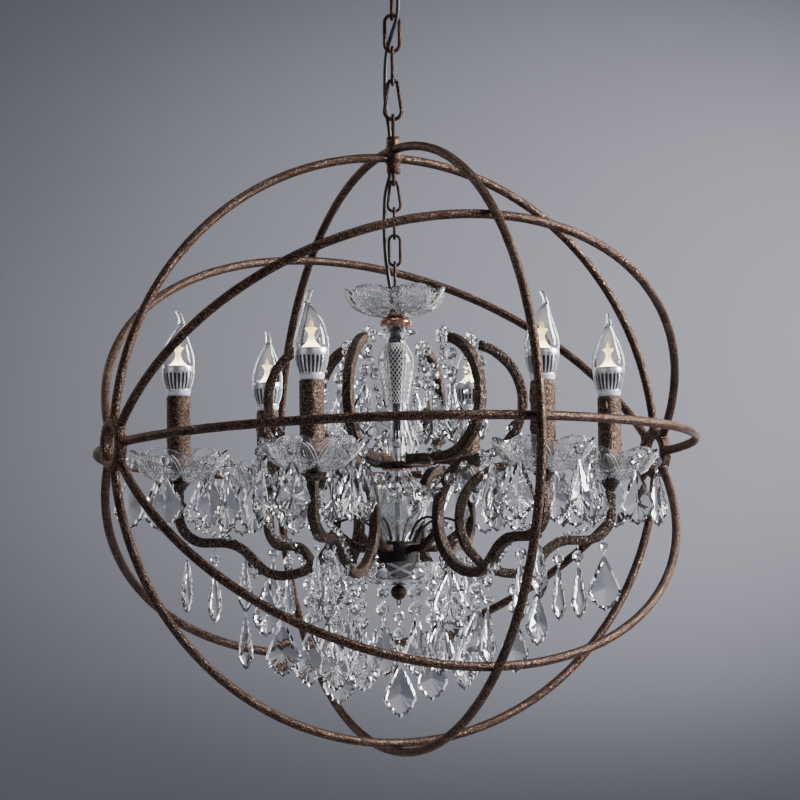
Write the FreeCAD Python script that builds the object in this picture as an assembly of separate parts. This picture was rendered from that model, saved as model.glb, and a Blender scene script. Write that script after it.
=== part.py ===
import FreeCAD, Part
import math
import os

# Orb chandelier: a cage of bar rings hangs on a chain from a ceiling canopy, and a
# six-arm crystal chandelier hangs on a second chain inside the cage.
# Millimetres, +Z up, origin on the ceiling at the middle of the canopy.
# X runs through the two side hubs of the cage. Heights below are given from the
# middle of the cage and every piece is moved down to its place when it is stored.

Vector = FreeCAD.Vector
UP = Vector(0, 0, 1)
EAST = Vector(1, 0, 0)
NORTH = Vector(0, 1, 0)
ORIGIN = Vector(0, 0, 0)

# Free gap left between touching pieces that must not share volume
gap = 0.3

# Cage
cage_diameter = 700.0
ring_bar = 10.0
ring_segments = 32
cage_flattening = 0.982
level_ring_lean = 2.5
front_ring_lean = -47.0
back_ring_lean = 45.0
side_hub_radius = 28.5
side_hub_bore = 18.5
side_hub_length = 14.0

# Hub tube at the top of the cage
hub_radius = 7.8
hub_bore = 6.7
hub_top = 351.0
hub_bottom = 314.0
hub_cap = 2.4
cable_offset = 3.5

# Chains: facing is the compass angle of the links that are seen broadside
chain_facing = -25.0
upper_wire = 4.2
upper_link_lengths = (46.0, 46.0, 46.0, 49.0)
upper_link_width = 21.0
inner_wire = 3.4
inner_link_lengths = (38.0, 38.0, 38.0, 35.0)
inner_link_width = 16.0
hub_eye_top = 380.0
hub_eye_radius = 5.2
lower_eye_bottom = 297.0
canopy_eye_radius = 8.0
column_eye_wire = 3.6
column_eye_radius = 4.6

# Canopy
canopy_radius = 60.0
canopy_height = 30.0
canopy_wall = 1.5
crossbar_length = 104.0
crossbar_width = 20.0
crossbar_thickness = 2.5
crossbar_slot_spacing = 70.0
crossbar_slot_length = 12.0
crossbar_slot_radius = 2.5
nipple_radius = 5.0
nipple_bore = 3.5

# Arms
arm_count = 6
first_arm_angle = 164.0
arm_bar = 10.5
candle_radius = 245.0
scroll_r = 131.0
scroll_z = -80.0
scroll_radius = 61.0
scroll_end_angle = 76.0
crest_z = -104.0
arm_top_z = -46.0
upper_scroll_r = 79.0
upper_scroll_z = 54.0
upper_scroll_radius = 66.0
upper_scroll_end_angle = 76.0

# Candles
sleeve_radius = 13.5
sleeve_bore = 12.4
sleeve_top = 58.6
bobeche_radius = 55.0
bobeche_rim = -1.0
bobeche_floor = -38.0
bobeche_wall = 2.6
glass_sides = 12
scallop = 0.94

# Crystals
bead_size = 14.0
bead_thickness = 7.0
bead_pitch = 19.5
hook_wire = 1.2
pendalogue_size = (62.0, 38.0, 10.0)
icicle_size = (58.0, 14.0, 14.0)
skirt_radius = 49.0

# Wiring
cable_diameter = 4.8
arm_wire_diameter = 3.0


def skin(sections, closed=False):
    """A solid of flat faces between outlines that all have the same number of corners."""
    faces = []
    count = len(sections[0])
    pairs = list(zip(sections, sections[1:]))
    if closed:
        pairs.append((sections[-1], sections[0]))
    for lower, upper in pairs:
        for i in range(count):
            j = (i + 1) % count
            quad = [lower[i], lower[j], upper[j], upper[i]]
            faces += flat_faces(quad)
    if not closed:
        faces += [polygon_face(sections[0]), polygon_face(sections[-1])]
    shell = Part.Shell(faces)
    shell.sewShape()
    solid = Part.Solid(shell)
    if solid.Volume < 0:
        solid.reverse()
    return solid


def polygon_face(points):
    return Part.Face(Part.makePolygon(list(points) + [points[0]]))


def flat_faces(quad):
    """One face where the four corners lie in a plane, two triangles where they do not."""
    normal = (quad[2] - quad[0]).cross(quad[3] - quad[1])
    lift = abs((quad[1] - quad[0]).dot(normal)) / normal.Length
    if lift < 1e-7:
        return [polygon_face(quad)]
    return [polygon_face(quad[:3]), polygon_face([quad[0], quad[2], quad[3]])]


def star(radius, z, sides, dip=1.0, shift=0.0):
    """Corners round the Z axis; every other corner is drawn in by the factor dip."""
    points = []
    for i in range(sides):
        turn = 2 * math.pi * (i + 0.5) / sides
        r = radius * (dip if i % 2 else 1.0)
        points.append(Vector(shift + r * math.cos(turn), r * math.sin(turn), z))
    return points


def turned(profile, sides, dip=1.0, closed=False):
    """A faceted turning through (radius, height) or (radius, height, shift) levels."""
    sections = [star(level[0], level[1], sides, dip, *level[2:]) for level in profile]
    return skin(sections, closed)


def disc(radius, bottom, top, sides):
    return turned([(radius, bottom), (radius, top)], sides)


def tube(outer, inner, bottom, top, sides):
    profile = [(outer, bottom), (outer, top), (inner, top), (inner, bottom)]
    return turned(profile, sides, closed=True)


def bored(profile, bore, sides, dip=1.0):
    """A turning through the profile with a straight bore from its first to its last level."""
    loop = list(profile) + [(bore, profile[-1][1]), (bore, profile[0][1])]
    return turned(loop, sides, dip, closed=True)


def round_section(diameter, sides=6):
    radius = diameter / 2 / math.cos(math.pi / sides)
    angles = [2 * math.pi * (i + 0.5) / sides for i in range(sides)]
    return [(radius * math.cos(a), radius * math.sin(a)) for a in angles]


def square_section(width):
    half = width / 2
    return [(-half, -half), (half, -half), (half, half), (-half, half)]


def bar(path, side, section, closed=False):
    """A bar with mitred bends along a flat path; side is the unit normal of its plane."""
    sections = []
    count = len(path)
    for i, point in enumerate(path):
        last = i == count - 1
        before = point - path[i - 1] if i or closed else path[1] - path[0]
        after = path[(i + 1) % count] - point if not last or closed else before
        before = Vector(before).normalize()
        after = Vector(after).normalize()
        along = (before + after).normalize()
        across = side.cross(along) * (1.0 / along.dot(after))
        sections.append([point + across * u + side * v for u, v in section])
    return skin(sections, closed)


def arc(centre_r, centre_z, radius, start, end, steps):
    """Points (r, z) of an arc, from start to end in degrees."""
    angles = [math.radians(start + (end - start) * i / steps) for i in range(steps + 1)]
    return [(centre_r + radius * math.cos(a), centre_z + radius * math.sin(a)) for a in angles]


def heading(facing):
    turn = math.radians(facing)
    return Vector(math.cos(turn), math.sin(turn), 0)


def flat_bar(points, facing, section, closed=False):
    """A bar through points (r, z) in the upright plane through the Z axis at facing."""
    outward = heading(facing)
    path = [outward * r + UP * z for r, z in points]
    return bar(path, heading(facing + 90), section, closed)


def spun(shape, degrees):
    copy = shape.copy()
    copy.rotate(ORIGIN, UP, degrees)
    return copy


def moved(shape, x, y, z):
    copy = shape.copy()
    copy.translate(Vector(x, y, z))
    return copy


def joined(shapes):
    return shapes[0].fuse(shapes[1:]).removeSplitter()


def arm_angles():
    return [first_arm_angle + 360.0 / arm_count * i for i in range(arm_count)]


# Lengths that follow from the dimensions above

cross_radius = (cage_diameter - ring_bar) / 2
ring_radius = cross_radius - ring_bar - gap / 2


def link_tops(start_top, lengths, wire):
    """Top heights of links that hang in each other, from the highest down."""
    tops = [start_top]
    for length in lengths[:-1]:
        tops.append(tops[-1] - length + 2 * wire + gap)
    return tops


chain_reach = sum(upper_link_lengths) - 2 * upper_wire * (len(upper_link_lengths) - 1)
chain_reach -= gap * (len(upper_link_lengths) - 1)
lowest_link_bottom = hub_eye_top - 2 * upper_wire - gap
upper_tops = link_tops(lowest_link_bottom + chain_reach, upper_link_lengths, upper_wire)
canopy_eye_bottom = upper_tops[0] - 2 * upper_wire - gap
inner_tops = link_tops(lower_eye_bottom + upper_wire + inner_wire + gap,
                       inner_link_lengths, inner_wire)
last_inner_bottom = inner_tops[-1] - inner_link_lengths[-1]
column_eye_top = last_inner_bottom + inner_wire + column_eye_wire + gap
collar_bottom = canopy_eye_bottom + upper_wire + 2 * canopy_eye_radius + 8.0
collar_top = collar_bottom + 8.0
canopy_bottom = collar_top + 0.2
ceiling = canopy_bottom + canopy_height

nodes = {}


def keep(name, solids):
    """Stores one named piece, made of one or more separate solids."""
    shape = Part.makeCompound(solids) if len(solids) > 1 else solids[0]
    nodes[name] = moved(shape, 0, 0, -ceiling)


def build_canopy():
    rim = canopy_radius
    low = canopy_bottom
    wall = canopy_wall
    hole = nipple_radius + gap
    profile = [(hole, low), (18.0, low), (37.0, low + 6), (56.0, low + 16), (rim, low + 24),
               (rim, ceiling), (rim - wall, ceiling), (rim - wall, low + 24.4),
               (54.6, low + 17), (36.2, low + 7.4), (17.5, low + wall), (hole, low + wall)]
    keep("canopy", [turned(profile, 16, closed=True)])
    strip = Part.makeBox(crossbar_length, crossbar_width, crossbar_thickness,
                         Vector(-crossbar_length / 2, -crossbar_width / 2,
                                ceiling - crossbar_thickness))
    for side in (-1, 1):
        strip = strip.cut(slot(side * crossbar_slot_spacing / 2))
    keep("crossbar", [strip.cut(disc(nipple_radius + gap, ceiling - 9, ceiling + 1, 12))])
    keep("nipple", [tube(nipple_radius, nipple_bore, collar_bottom + 2.2, ceiling - 1, 12)])
    nut_top = ceiling - crossbar_thickness - 0.2
    nut_bore = (nipple_radius + gap / 2) / math.cos(math.pi / 6)
    keep("nipple_nut", [tube(9.5, nut_bore, nut_top - 4, nut_top, 6)])
    neck = tube(11.0, nipple_radius + gap, collar_bottom + 2, collar_top, 12)
    base = tube(11.0, nipple_bore, collar_bottom, collar_bottom + 2, 12)
    eye = eye_loop(upper_wire, canopy_eye_radius, canopy_eye_bottom, collar_bottom + 1.0, 0)
    keep("canopy_loop", [joined([base, neck, eye])])


def slot(middle):
    """Cutter for a slot along X with round ends."""
    reach = crossbar_slot_length / 2 - crossbar_slot_radius
    base = ceiling - 9
    ends = [Part.makeCylinder(crossbar_slot_radius, 10, Vector(middle + side * reach, 0, base))
            for side in (-1, 1)]
    web = Part.makeBox(2 * reach, 2 * crossbar_slot_radius, 10,
                       Vector(middle - reach, -crossbar_slot_radius, base))
    return joined(ends + [web])


def eye_loop(wire, radius, tip, root, quarter):
    """A wire eye from its tip height to its root height; quarter 1 turns it edge-on."""
    way = 1 if tip > root else -1
    centre = tip - way * (wire / 2 + radius)
    arch = arc(0, 0, radius / math.cos(math.pi / 10), 0, 180, 5)
    leg = arch[0][0]
    points = [(leg, root)] + [(r, centre + way * z) for r, z in arch] + [(-leg, root)]
    return flat_bar(points, chain_facing + 90 * quarter, round_section(wire))


def link(top, length, top_width, low_width, wire, quarter):
    """A chain link; it is pear shaped where its two end widths differ."""
    high = (top_width - wire) / 2
    low = (low_width - wire) / 2
    swell = 1 / math.cos(math.pi / 10)
    points = arc(0, top - wire / 2 - high, high * swell, 0, 180, 5)
    points += arc(0, top - length + wire / 2 + low, low * swell, 180, 360, 5)
    return flat_bar(points, chain_facing + 90 * quarter, round_section(wire), closed=True)


def build_chains():
    chains = (("upper_link", upper_tops, upper_link_lengths, upper_link_width, upper_wire,
               (1, 0, 1, 0), 3),
              ("inner_link", inner_tops, inner_link_lengths, inner_link_width, inner_wire,
               (0, 1, 0, 1), 0))
    for name, tops, lengths, width, wire, quarters, pear in chains:
        for i, top in enumerate(tops):
            top_width = width * (0.74 if i == pear else 1.0)
            low_width = width * (1.12 if i == pear else 1.0)
            shape = link(top, lengths[i], top_width, low_width, wire, quarters[i])
            keep("%s_%d" % (name, i + 1), [shape])


def cable_hole():
    return moved(disc(cable_diameter / 2 + 1.3, -600, 600, 8),
                 *(heading(chain_facing) * -cable_offset))


def build_top_hub():
    keep("hub_tube", [tube(hub_radius, hub_bore, hub_bottom, hub_top, 12)])
    cap = disc(hub_radius, hub_top + 0.1, hub_top + hub_cap, 12).cut(cable_hole())
    eye = eye_loop(upper_wire, hub_eye_radius, hub_eye_top, hub_top + 1.0, 1)
    keep("hub_upper_loop", [joined([cap, eye])])
    cap = disc(hub_radius, hub_bottom - hub_cap, hub_bottom - 0.1, 12).cut(cable_hole())
    eye = eye_loop(upper_wire, hub_eye_radius, lower_eye_bottom, hub_bottom - 1.0, 1)
    keep("hub_lower_loop", [joined([cap, eye])])


def half_ring(lean, sign):
    """Half a ring from hub to hub; lean is the angle of its plane above level."""
    step = math.radians(360.0 / ring_segments)
    start = math.asin((side_hub_radius - 3.0) / ring_radius)
    tilt = math.radians(lean)
    outward = Vector(0, -math.cos(tilt), math.sin(tilt) * cage_flattening) * sign
    angles = [start] + [step * (i + 0.5) for i in range(1, ring_segments // 2 - 1)]
    angles.append(math.pi - start)
    path = [EAST * (-ring_radius * math.cos(a)) + outward * (ring_radius * math.sin(a))
            for a in angles]
    rod = bar(path, EAST.cross(outward).normalize(), round_section(ring_bar))
    for side in (-1, 1):
        rod = rod.cut(side_hub(side, side_hub_radius + 0.1, 1.0, 2 * side_hub_length))
    return rod


def side_hub(side, radius, bore, length):
    hub = tube(radius, bore, -length / 2, length / 2, 20)
    hub.rotate(ORIGIN, NORTH, 90)
    return moved(hub, side * ring_radius, 0, 0)


def build_rings():
    for name, lean in (("tilted_ring_a", back_ring_lean), ("tilted_ring_b", front_ring_lean),
                       ("level_ring", level_ring_lean)):
        keep(name, [half_ring(lean, sign) for sign in (1, -1)])
    cutter = disc(hub_radius + 0.1, hub_bottom - 1, hub_top + 1, 12)
    upper_halves = half_ring(90, 1).cut(cutter).Solids
    keep("vertical_ring", upper_halves + [half_ring(90, -1)])
    step = 2 * math.pi / ring_segments
    path = [Vector(0, cross_radius * math.cos(step * i),
                   cross_radius * math.sin(step * i) * cage_flattening)
            for i in range(ring_segments)]
    hoop = bar(path, EAST, round_section(ring_bar), closed=True)
    keep("cross_ring", [hoop.cut(cutter)])
    for side, name in ((-1, "side_hub_left"), (1, "side_hub_right")):
        keep(name, [side_hub(side, side_hub_radius, side_hub_bore, side_hub_length)])


def build_column():
    bore = 3.4
    sides = 12
    eye = eye_loop(column_eye_wire, column_eye_radius, column_eye_top, 160.0, 0)
    stem = disc(9.8, 150.3, 161.0, 12)
    entry = heading(chain_facing) * -2.8 + heading(chain_facing + 90) * 4.8
    hole = moved(disc(cable_diameter / 2 + 1.0, 151.5, 170.0, 8), *entry)
    keep("column_loop", [joined([eye, stem]).cut(hole)])
    keep("centre_rod", [disc(3.0, -152.8, 150.0, 8)])
    bowl = [(bore, 147.2), (14, 147.2), (50, 161), (57.5, 181), (55, 181), (47.6, 163),
            (14, 150), (bore, 150)]
    keep("top_bowl", [turned(bowl, glass_sides, scallop, closed=True)])
    keep("copper_collar", [bored([(13, 137.8), (18, 140), (18, 145), (13, 147)], bore, sides)])
    vase = [(15, -13.8), (25.3, 3), (13.6, 38), (13, 48), (19.8, 90), (18.6, 107),
            (10.5, 124), (24, 131), (12, 137.6)]
    keep("upper_vase", [bored(vase, bore, sides)])
    discs = [[(15.5, low), (17.5, low + 1.6), (15.5, low + 3.2)] for low in (-17.2, -23.9)]
    keep("copper_discs", [bored(profile, bore, sides) for profile in discs])
    keep("scroll_plate", [tube(27.0, bore, -20.4, -17.4, sides)])
    vase = [(13, -103.8), (16, -98), (27, -84), (33.7, -62), (31, -45), (18, -30),
            (14, -24.2)]
    keep("lower_vase", [bored(vase, bore, sides)])
    keep("arm_hub", [bored([(20, -148.6), (24, -145), (24, -108), (20, -104)], bore, sides)])
    dish = [(bore, -152.6), (24, -152.6), (38, -146), (46, -128), (43.6, -128), (36, -143.6),
            (22, -149), (bore, -149)]
    keep("bottom_dish", [turned(dish, glass_sides, scallop, closed=True)])
    ball = turned([(4, -169), (8.4, -165), (8.4, -157), (4.5, -153)], 8)
    keep("finial", [ball, eye_loop(1.6, 2.0, -175.4, -169.1, 0)])


def arm_profile():
    """Bar path (r, z) from the free end of the scroll to the cup under the candle."""
    path = arc(scroll_r, scroll_z, scroll_radius, scroll_end_angle, 270, 10)
    path += arc(scroll_r, scroll_z - scroll_radius + 35.0, 35.0, 292, 315, 1)
    path += arc(198.0, crest_z - 40.0, 40.0, 135, 90, 2)
    path += arc(candle_radius - 30.0, crest_z + 30.0, 30.0, 270, 360, 4)
    return path + [(candle_radius, arm_top_z)]


def build_arms():
    section = square_section(arm_bar)
    main = flat_bar(arm_profile(), 0, section)
    spoke = flat_bar([(24.3, -112.0), (44.0, -112.0), (69.0, -94.0)], 0, square_section(8.0))
    arm = joined([main, spoke])
    curl = arc(upper_scroll_r, upper_scroll_z, upper_scroll_radius, 270,
               360 + upper_scroll_end_angle, 10)
    scroll = flat_bar([(20.4, upper_scroll_z - upper_scroll_radius)] + curl, 0, section)
    for i, angle in enumerate(arm_angles()):
        keep("scroll_arm_%d" % (i + 1), [spun(arm, angle)])
    keep("upper_scrolls", [spun(scroll, angle) for angle in arm_angles()])


def around_candles(shape):
    """Copies of a piece made on the Z axis, one over the end of each arm."""
    return [spun(moved(shape, candle_radius, 0, 0), angle) for angle in arm_angles()]


def build_candles():
    low = arm_top_z
    cup = turned([(6, low), (12, low + 7.8), (5, low + 7.8), (5, low + 45)], 8)
    keep("candle_cups", around_candles(cup))
    rim = bobeche_rim
    floor = bobeche_floor
    inner_floor = floor + bobeche_wall
    glass = [(6.4, floor), (40, floor + 10), (bobeche_radius, rim),
             (bobeche_radius - bobeche_wall, rim), (37.6, floor + 12.6), (6.4, inner_floor)]
    keep("bobeches", around_candles(turned(glass, glass_sides, scallop, closed=True)))
    sleeve = [(6, inner_floor + 0.4), (sleeve_radius, -20), (sleeve_radius, sleeve_top),
              (sleeve_bore, sleeve_top), (sleeve_bore, -18)]
    keep("candle_sleeves", around_candles(turned(sleeve, 8, closed=True)))
    holder = tube(11.4, 8.6, -6, sleeve_top - 1, 6)
    keep("lamp_holders", around_candles(holder))
    top = sleeve_top
    base = turned([(7.2, top - 22), (7.2, top + 0.5), (12.4, top + 0.5), (17.6, top + 13),
                   (18.3, top + 33)], 8)
    glass = turned([(18.0, top + 33.1), (17.4, top + 45), (12.5, top + 60), (4.6, top + 77, 1.0),
                    (1.6, top + 96, 7.0)], 8)
    pairs = zip(around_candles(base), around_candles(glass))
    for i, pair in enumerate(pairs):
        keep("bulb_%d" % (i + 1), list(pair))


def hook(length):
    return [(0.0, hook_wire, hook_wire), (length, hook_wire, hook_wire)]


def bead():
    return [(0.0, hook_wire, hook_wire), (bead_size / 2, bead_size, bead_thickness),
            (bead_size, hook_wire, hook_wire)]


def pendalogue(scale=1.0):
    length, wide, thick = [scale * size for size in pendalogue_size]
    return [(0.0, hook_wire, hook_wire), (length * 0.2, wide * 0.42, thick * 0.7),
            (length * 0.62, wide, thick), (length * 0.86, wide * 0.5, thick * 0.7),
            (length, 1.0, 1.0)]


def icicle():
    length, wide, thick = icicle_size
    return [(0.0, hook_wire, hook_wire), (length * 0.7, wide, thick), (length, 1.0, 1.0)]


def bead_row(count):
    row = []
    for _ in range(count):
        row += [hook(bead_pitch - bead_size), bead()]
    return row


def strand(items):
    """Crystals in one hanging row from the origin down, broadside along Y."""
    levels = [(0.0, hook_wire, hook_wire)]
    for profile in items:
        start = levels[-1][0]
        levels += [(start + drop, wide, thick) for drop, wide, thick in profile[1:]]
    return skin([[Vector(0, w / 2, -z), Vector(t / 2, 0, -z), Vector(0, -w / 2, -z),
                  Vector(-t / 2, 0, -z)] for z, w, t in levels])


def hang(shape, radius, angle, z):
    return spun(moved(shape, radius, 0, z), angle)


def build_crystals():
    arms = arm_angles()
    between = [a + 180.0 / arm_count for a in arms]
    drop = strand([bead(), pendalogue()])
    rim = [moved(spun(moved(drop, bobeche_radius + 0.6, 0, 0), spread), candle_radius, 0,
                 bobeche_rim - 0.5) for spread in (-70, 0, 70, 180)]
    keep("bobeche_drops", [spun(shape, angle) for angle in arms for shape in rim])
    low = scroll_z - scroll_radius - arm_bar / 2 - 0.2
    long_drop = strand(bead_row(2) + [pendalogue()])
    short_drop = strand(bead_row(1) + [icicle()])
    crest = crest_z - arm_bar / 2 - 0.2
    keep("arm_drops", [hang(long_drop, scroll_r, a, low) for a in arms]
         + [hang(short_drop, 206.0, a, crest) for a in arms])
    skirt = strand(bead_row(3) + [pendalogue()])
    keep("skirt_drops", [hang(skirt, skirt_radius, 45.0 * i, -128.5) for i in range(8)])
    tip = math.radians(upper_scroll_end_angle)
    tip_r = upper_scroll_r + upper_scroll_radius * math.cos(tip)
    tip_z = upper_scroll_z + upper_scroll_radius * math.sin(tip)
    fall = strand(bead_row(2) + [icicle()])
    cluster = turned([(4, -8), (9.5, 0), (4, 8)], 6)
    keep("scroll_drops", [hang(fall, tip_r + 2.0, a, tip_z - arm_bar / 2 - 1.6) for a in arms]
         + [hang(cluster, tip_r - 11.5, a, tip_z + 4.0) for a in arms])
    centre = strand(bead_row(3) + [pendalogue()])
    keep("centre_strand", [moved(centre, 0, 0, -175.7)])
    keep("bead_garlands", [spun(garland(34.0, 12), a) for a in between])


def garland(sag, steps):
    """A sagging row of beads between the scroll tops of two neighbouring arms."""
    end_r = scroll_r + scroll_radius * math.cos(math.radians(84))
    end_z = scroll_z + scroll_radius
    middle = end_r * math.cos(math.pi / arm_count)
    reach = end_r * math.sin(math.pi / arm_count) - arm_bar / 2 / math.cos(math.pi / 6) - 1.0
    path = []
    for i in range(steps + 1):
        across = 2.0 * i / steps - 1.0
        path.append(Vector(middle, reach * across, end_z - sag * (1 - across * across)))
    sections = []
    for i, point in enumerate(path):
        along = (path[min(i + 1, steps)] - path[max(i - 1, 0)]).normalize()
        half = (EAST.cross(along) * (bead_size if i % 2 else hook_wire)) / 2
        flat = EAST * ((bead_thickness if i % 2 else hook_wire) / 2)
        sections.append([point + half, point + flat, point - half, point - flat])
    return skin(sections)


def cord(points, diameter, sides):
    """A cord along straight runs joined by tangent arcs."""
    edges = []
    radii = []
    start = points[0]
    for i in range(1, len(points) - 1):
        before = points[i] - points[i - 1]
        after = points[i + 1] - points[i]
        trim = 0.45 * min(before.Length, after.Length)
        half_turn = before.getAngle(after) / 2
        before = Vector(before).normalize()
        after = Vector(after).normalize()
        radius = trim / math.tan(half_turn)
        radii.append(round(radius, 1))
        into = points[i] - before * trim
        out = points[i] + after * trim
        inward = (after - before).normalize()
        middle = points[i] + inward * (radius / math.cos(half_turn) - radius)
        edges.append(Part.makeLine(start, into))
        edges.append(Part.Arc(into, middle, out).toShape())
        start = out
    edges.append(Part.makeLine(start, points[-1]))
    path = Part.Wire(edges)
    along = (points[1] - points[0]).normalize()
    side = along.cross(heading(chain_facing)).normalize()
    other = along.cross(side)
    corners = [points[0] + side * u + other * v for u, v in round_section(diameter, sides)]
    section = Part.makePolygon(corners + [corners[0]])
    solid = path.makePipeShell([section], True, False)
    area = Part.Face(section).Area
    print("cord %.1f mm, smallest radius %.1f, volume ratio %.4f"
          % (path.Length, min(radii), solid.Volume / (area * path.Length)))
    return solid


def chain_point(s, d, z):
    """A point given sideways and away as seen broadside to the chain, and its height."""
    return heading(chain_facing) * s + heading(chain_facing + 90) * d + UP * z


def build_wiring():
    side = -cable_offset
    route = [(0, 0, ceiling - 4), (0, 0, 548), (5.6, -5.6, 532), (7.6, -7.2, 514),
             (6.2, -6.8, 487), (-3.0, 2.6, 466), (-7.8, 6.6, 446), (-9.2, 6.6, 400),
             (-6.2, 5.8, 374), (side, 0.0, 357), (side, 0, 334)]
    upper = cord([chain_point(*p) for p in route], cable_diameter, 6)
    route = [(side, 0, 331), (side, 0, 311), (-7.8, 5.7, 298.5), (-11.0, 6.0, 280),
             (-11.2, 5.6, 225), (-6.6, 5.4, 190), (-2.8, 4.8, 169), (-2.8, 4.8, 153)]
    lower = cord([chain_point(*p) for p in route], cable_diameter, 6)
    keep("upper_cable", [upper])
    keep("lower_cable", [lower])
    path = [(20.0, -102.0), (29.0, -89.0), (46.0, -77.0), (64.3, -80.0)]
    wire = flat_bar(path, 0, round_section(arm_wire_diameter, 4))
    keep("arm_wires", [spun(wire, angle) for angle in arm_angles()])


for build in (build_canopy, build_chains, build_top_hub, build_rings, build_column, build_arms,
              build_candles, build_crystals, build_wiring):
    build()
os.makedirs("parts", exist_ok=True)
for name, shape in nodes.items():
    shape.exportStep("parts/%s.step" % name)
print("ceiling at", round(ceiling, 3), "upper tops", [round(z, 2) for z in upper_tops],
      "inner tops", [round(z, 2) for z in inner_tops],
      "column eye top", round(column_eye_top, 2), "nodes", len(nodes))
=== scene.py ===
import itertools
import logging
import math
import random
from dataclasses import dataclass, field
from enum import Enum
from typing import Callable, Iterable, Sequence

import bmesh
import bpy
from mathutils import Matrix, Vector


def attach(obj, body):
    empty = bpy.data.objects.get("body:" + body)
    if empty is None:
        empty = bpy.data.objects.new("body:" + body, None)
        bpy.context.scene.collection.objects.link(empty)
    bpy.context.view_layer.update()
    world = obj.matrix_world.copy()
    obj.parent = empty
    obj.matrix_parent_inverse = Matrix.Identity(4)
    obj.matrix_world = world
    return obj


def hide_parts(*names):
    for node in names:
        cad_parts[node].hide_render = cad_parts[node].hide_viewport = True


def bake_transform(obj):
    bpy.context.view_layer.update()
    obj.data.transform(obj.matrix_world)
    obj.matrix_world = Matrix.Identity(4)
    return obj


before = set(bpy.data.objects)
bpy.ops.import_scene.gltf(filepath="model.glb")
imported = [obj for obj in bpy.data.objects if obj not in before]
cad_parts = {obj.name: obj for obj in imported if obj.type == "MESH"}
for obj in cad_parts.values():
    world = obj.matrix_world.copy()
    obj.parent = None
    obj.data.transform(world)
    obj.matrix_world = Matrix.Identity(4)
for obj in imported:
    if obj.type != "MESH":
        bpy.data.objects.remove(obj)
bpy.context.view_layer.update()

# Sizes are in millimetres and heights count from the middle of the cage. Blender's own
# lengths are metres from the ceiling, this far above the middle of the cage.
MM = 0.001
ORB_DROP = 589.9

# The compass angle across the photograph, the circle of the candles and the arms' angles.
FACING = -25.0
CANDLE_RADIUS = 245.0
ARM_ANGLES = [164.0 + 60.0 * i for i in range(6)]

# The scrolls' square bar, the angle above level of their free ends, and the distance from
# the axis, the height and the radius of the lower and the upper ones.
SCROLL_BAR = 10.5
FREE_ANGLE = 76.0
SCROLL, SCROLL_RADIUS = (131.0, -80.0), 61.0
UPPER_SCROLL, UPPER_RADIUS = (79.0, 54.0), 66.0

# The bodies of the record that carry most pieces.
CEILING, CAGE, CHANDELIER = "ceiling_mount", "cage", "chandelier"

Point = Sequence[float]
Piece = bpy.types.Object
Socket = bpy.types.NodeSocket
Rule = Callable[[Vector, object], bool]
log = logging.getLogger("orb_chandelier")


def spot(x: float, y: float, z: float) -> Vector:
    """A point of the frame in metres, from millimetres about the middle of the cage."""
    return Vector((x, y, z - ORB_DROP)) * MM


def heading(degrees: float) -> Vector:
    """The level unit vector at a compass angle from +X."""
    turn = math.radians(degrees)
    return Vector((math.cos(turn), math.sin(turn), 0.0))


def about_middle(shift: Vector, turn: Matrix) -> Matrix:
    """A place turned about the middle of the cage and then shifted in millimetres."""
    home = Matrix.Translation(spot(0, 0, 0))
    return Matrix.Translation(shift * MM) @ home @ turn @ home.inverted()


def placed(x: float = 0.0, y: float = 0.0, z: float = 0.0, yaw: float = 0.0,
           pitch: float = 0.0, roll: float = 0.0, size: float = 1.0) -> Matrix:
    """A place for a copy: turned in degrees about X, Y and Z, then moved in millimetres.

    Args:
        x: Shift along X from the middle of the cage.
        y: Shift along Y.
        z: Shift along Z.
        yaw: Turn about Z.
        pitch: Turn about Y.
        roll: Turn about X.
        size: Scale of the copy.

    Returns:
        The matrix in metres for a master that is modelled about the middle of the cage.
    """
    turn = Matrix.Scale(size, 4)
    for degrees, axis in ((roll, "X"), (pitch, "Y"), (yaw, "Z")):
        turn = Matrix.Rotation(math.radians(degrees), 4, axis) @ turn
    return about_middle(Vector((x, y, z)), turn)


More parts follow.
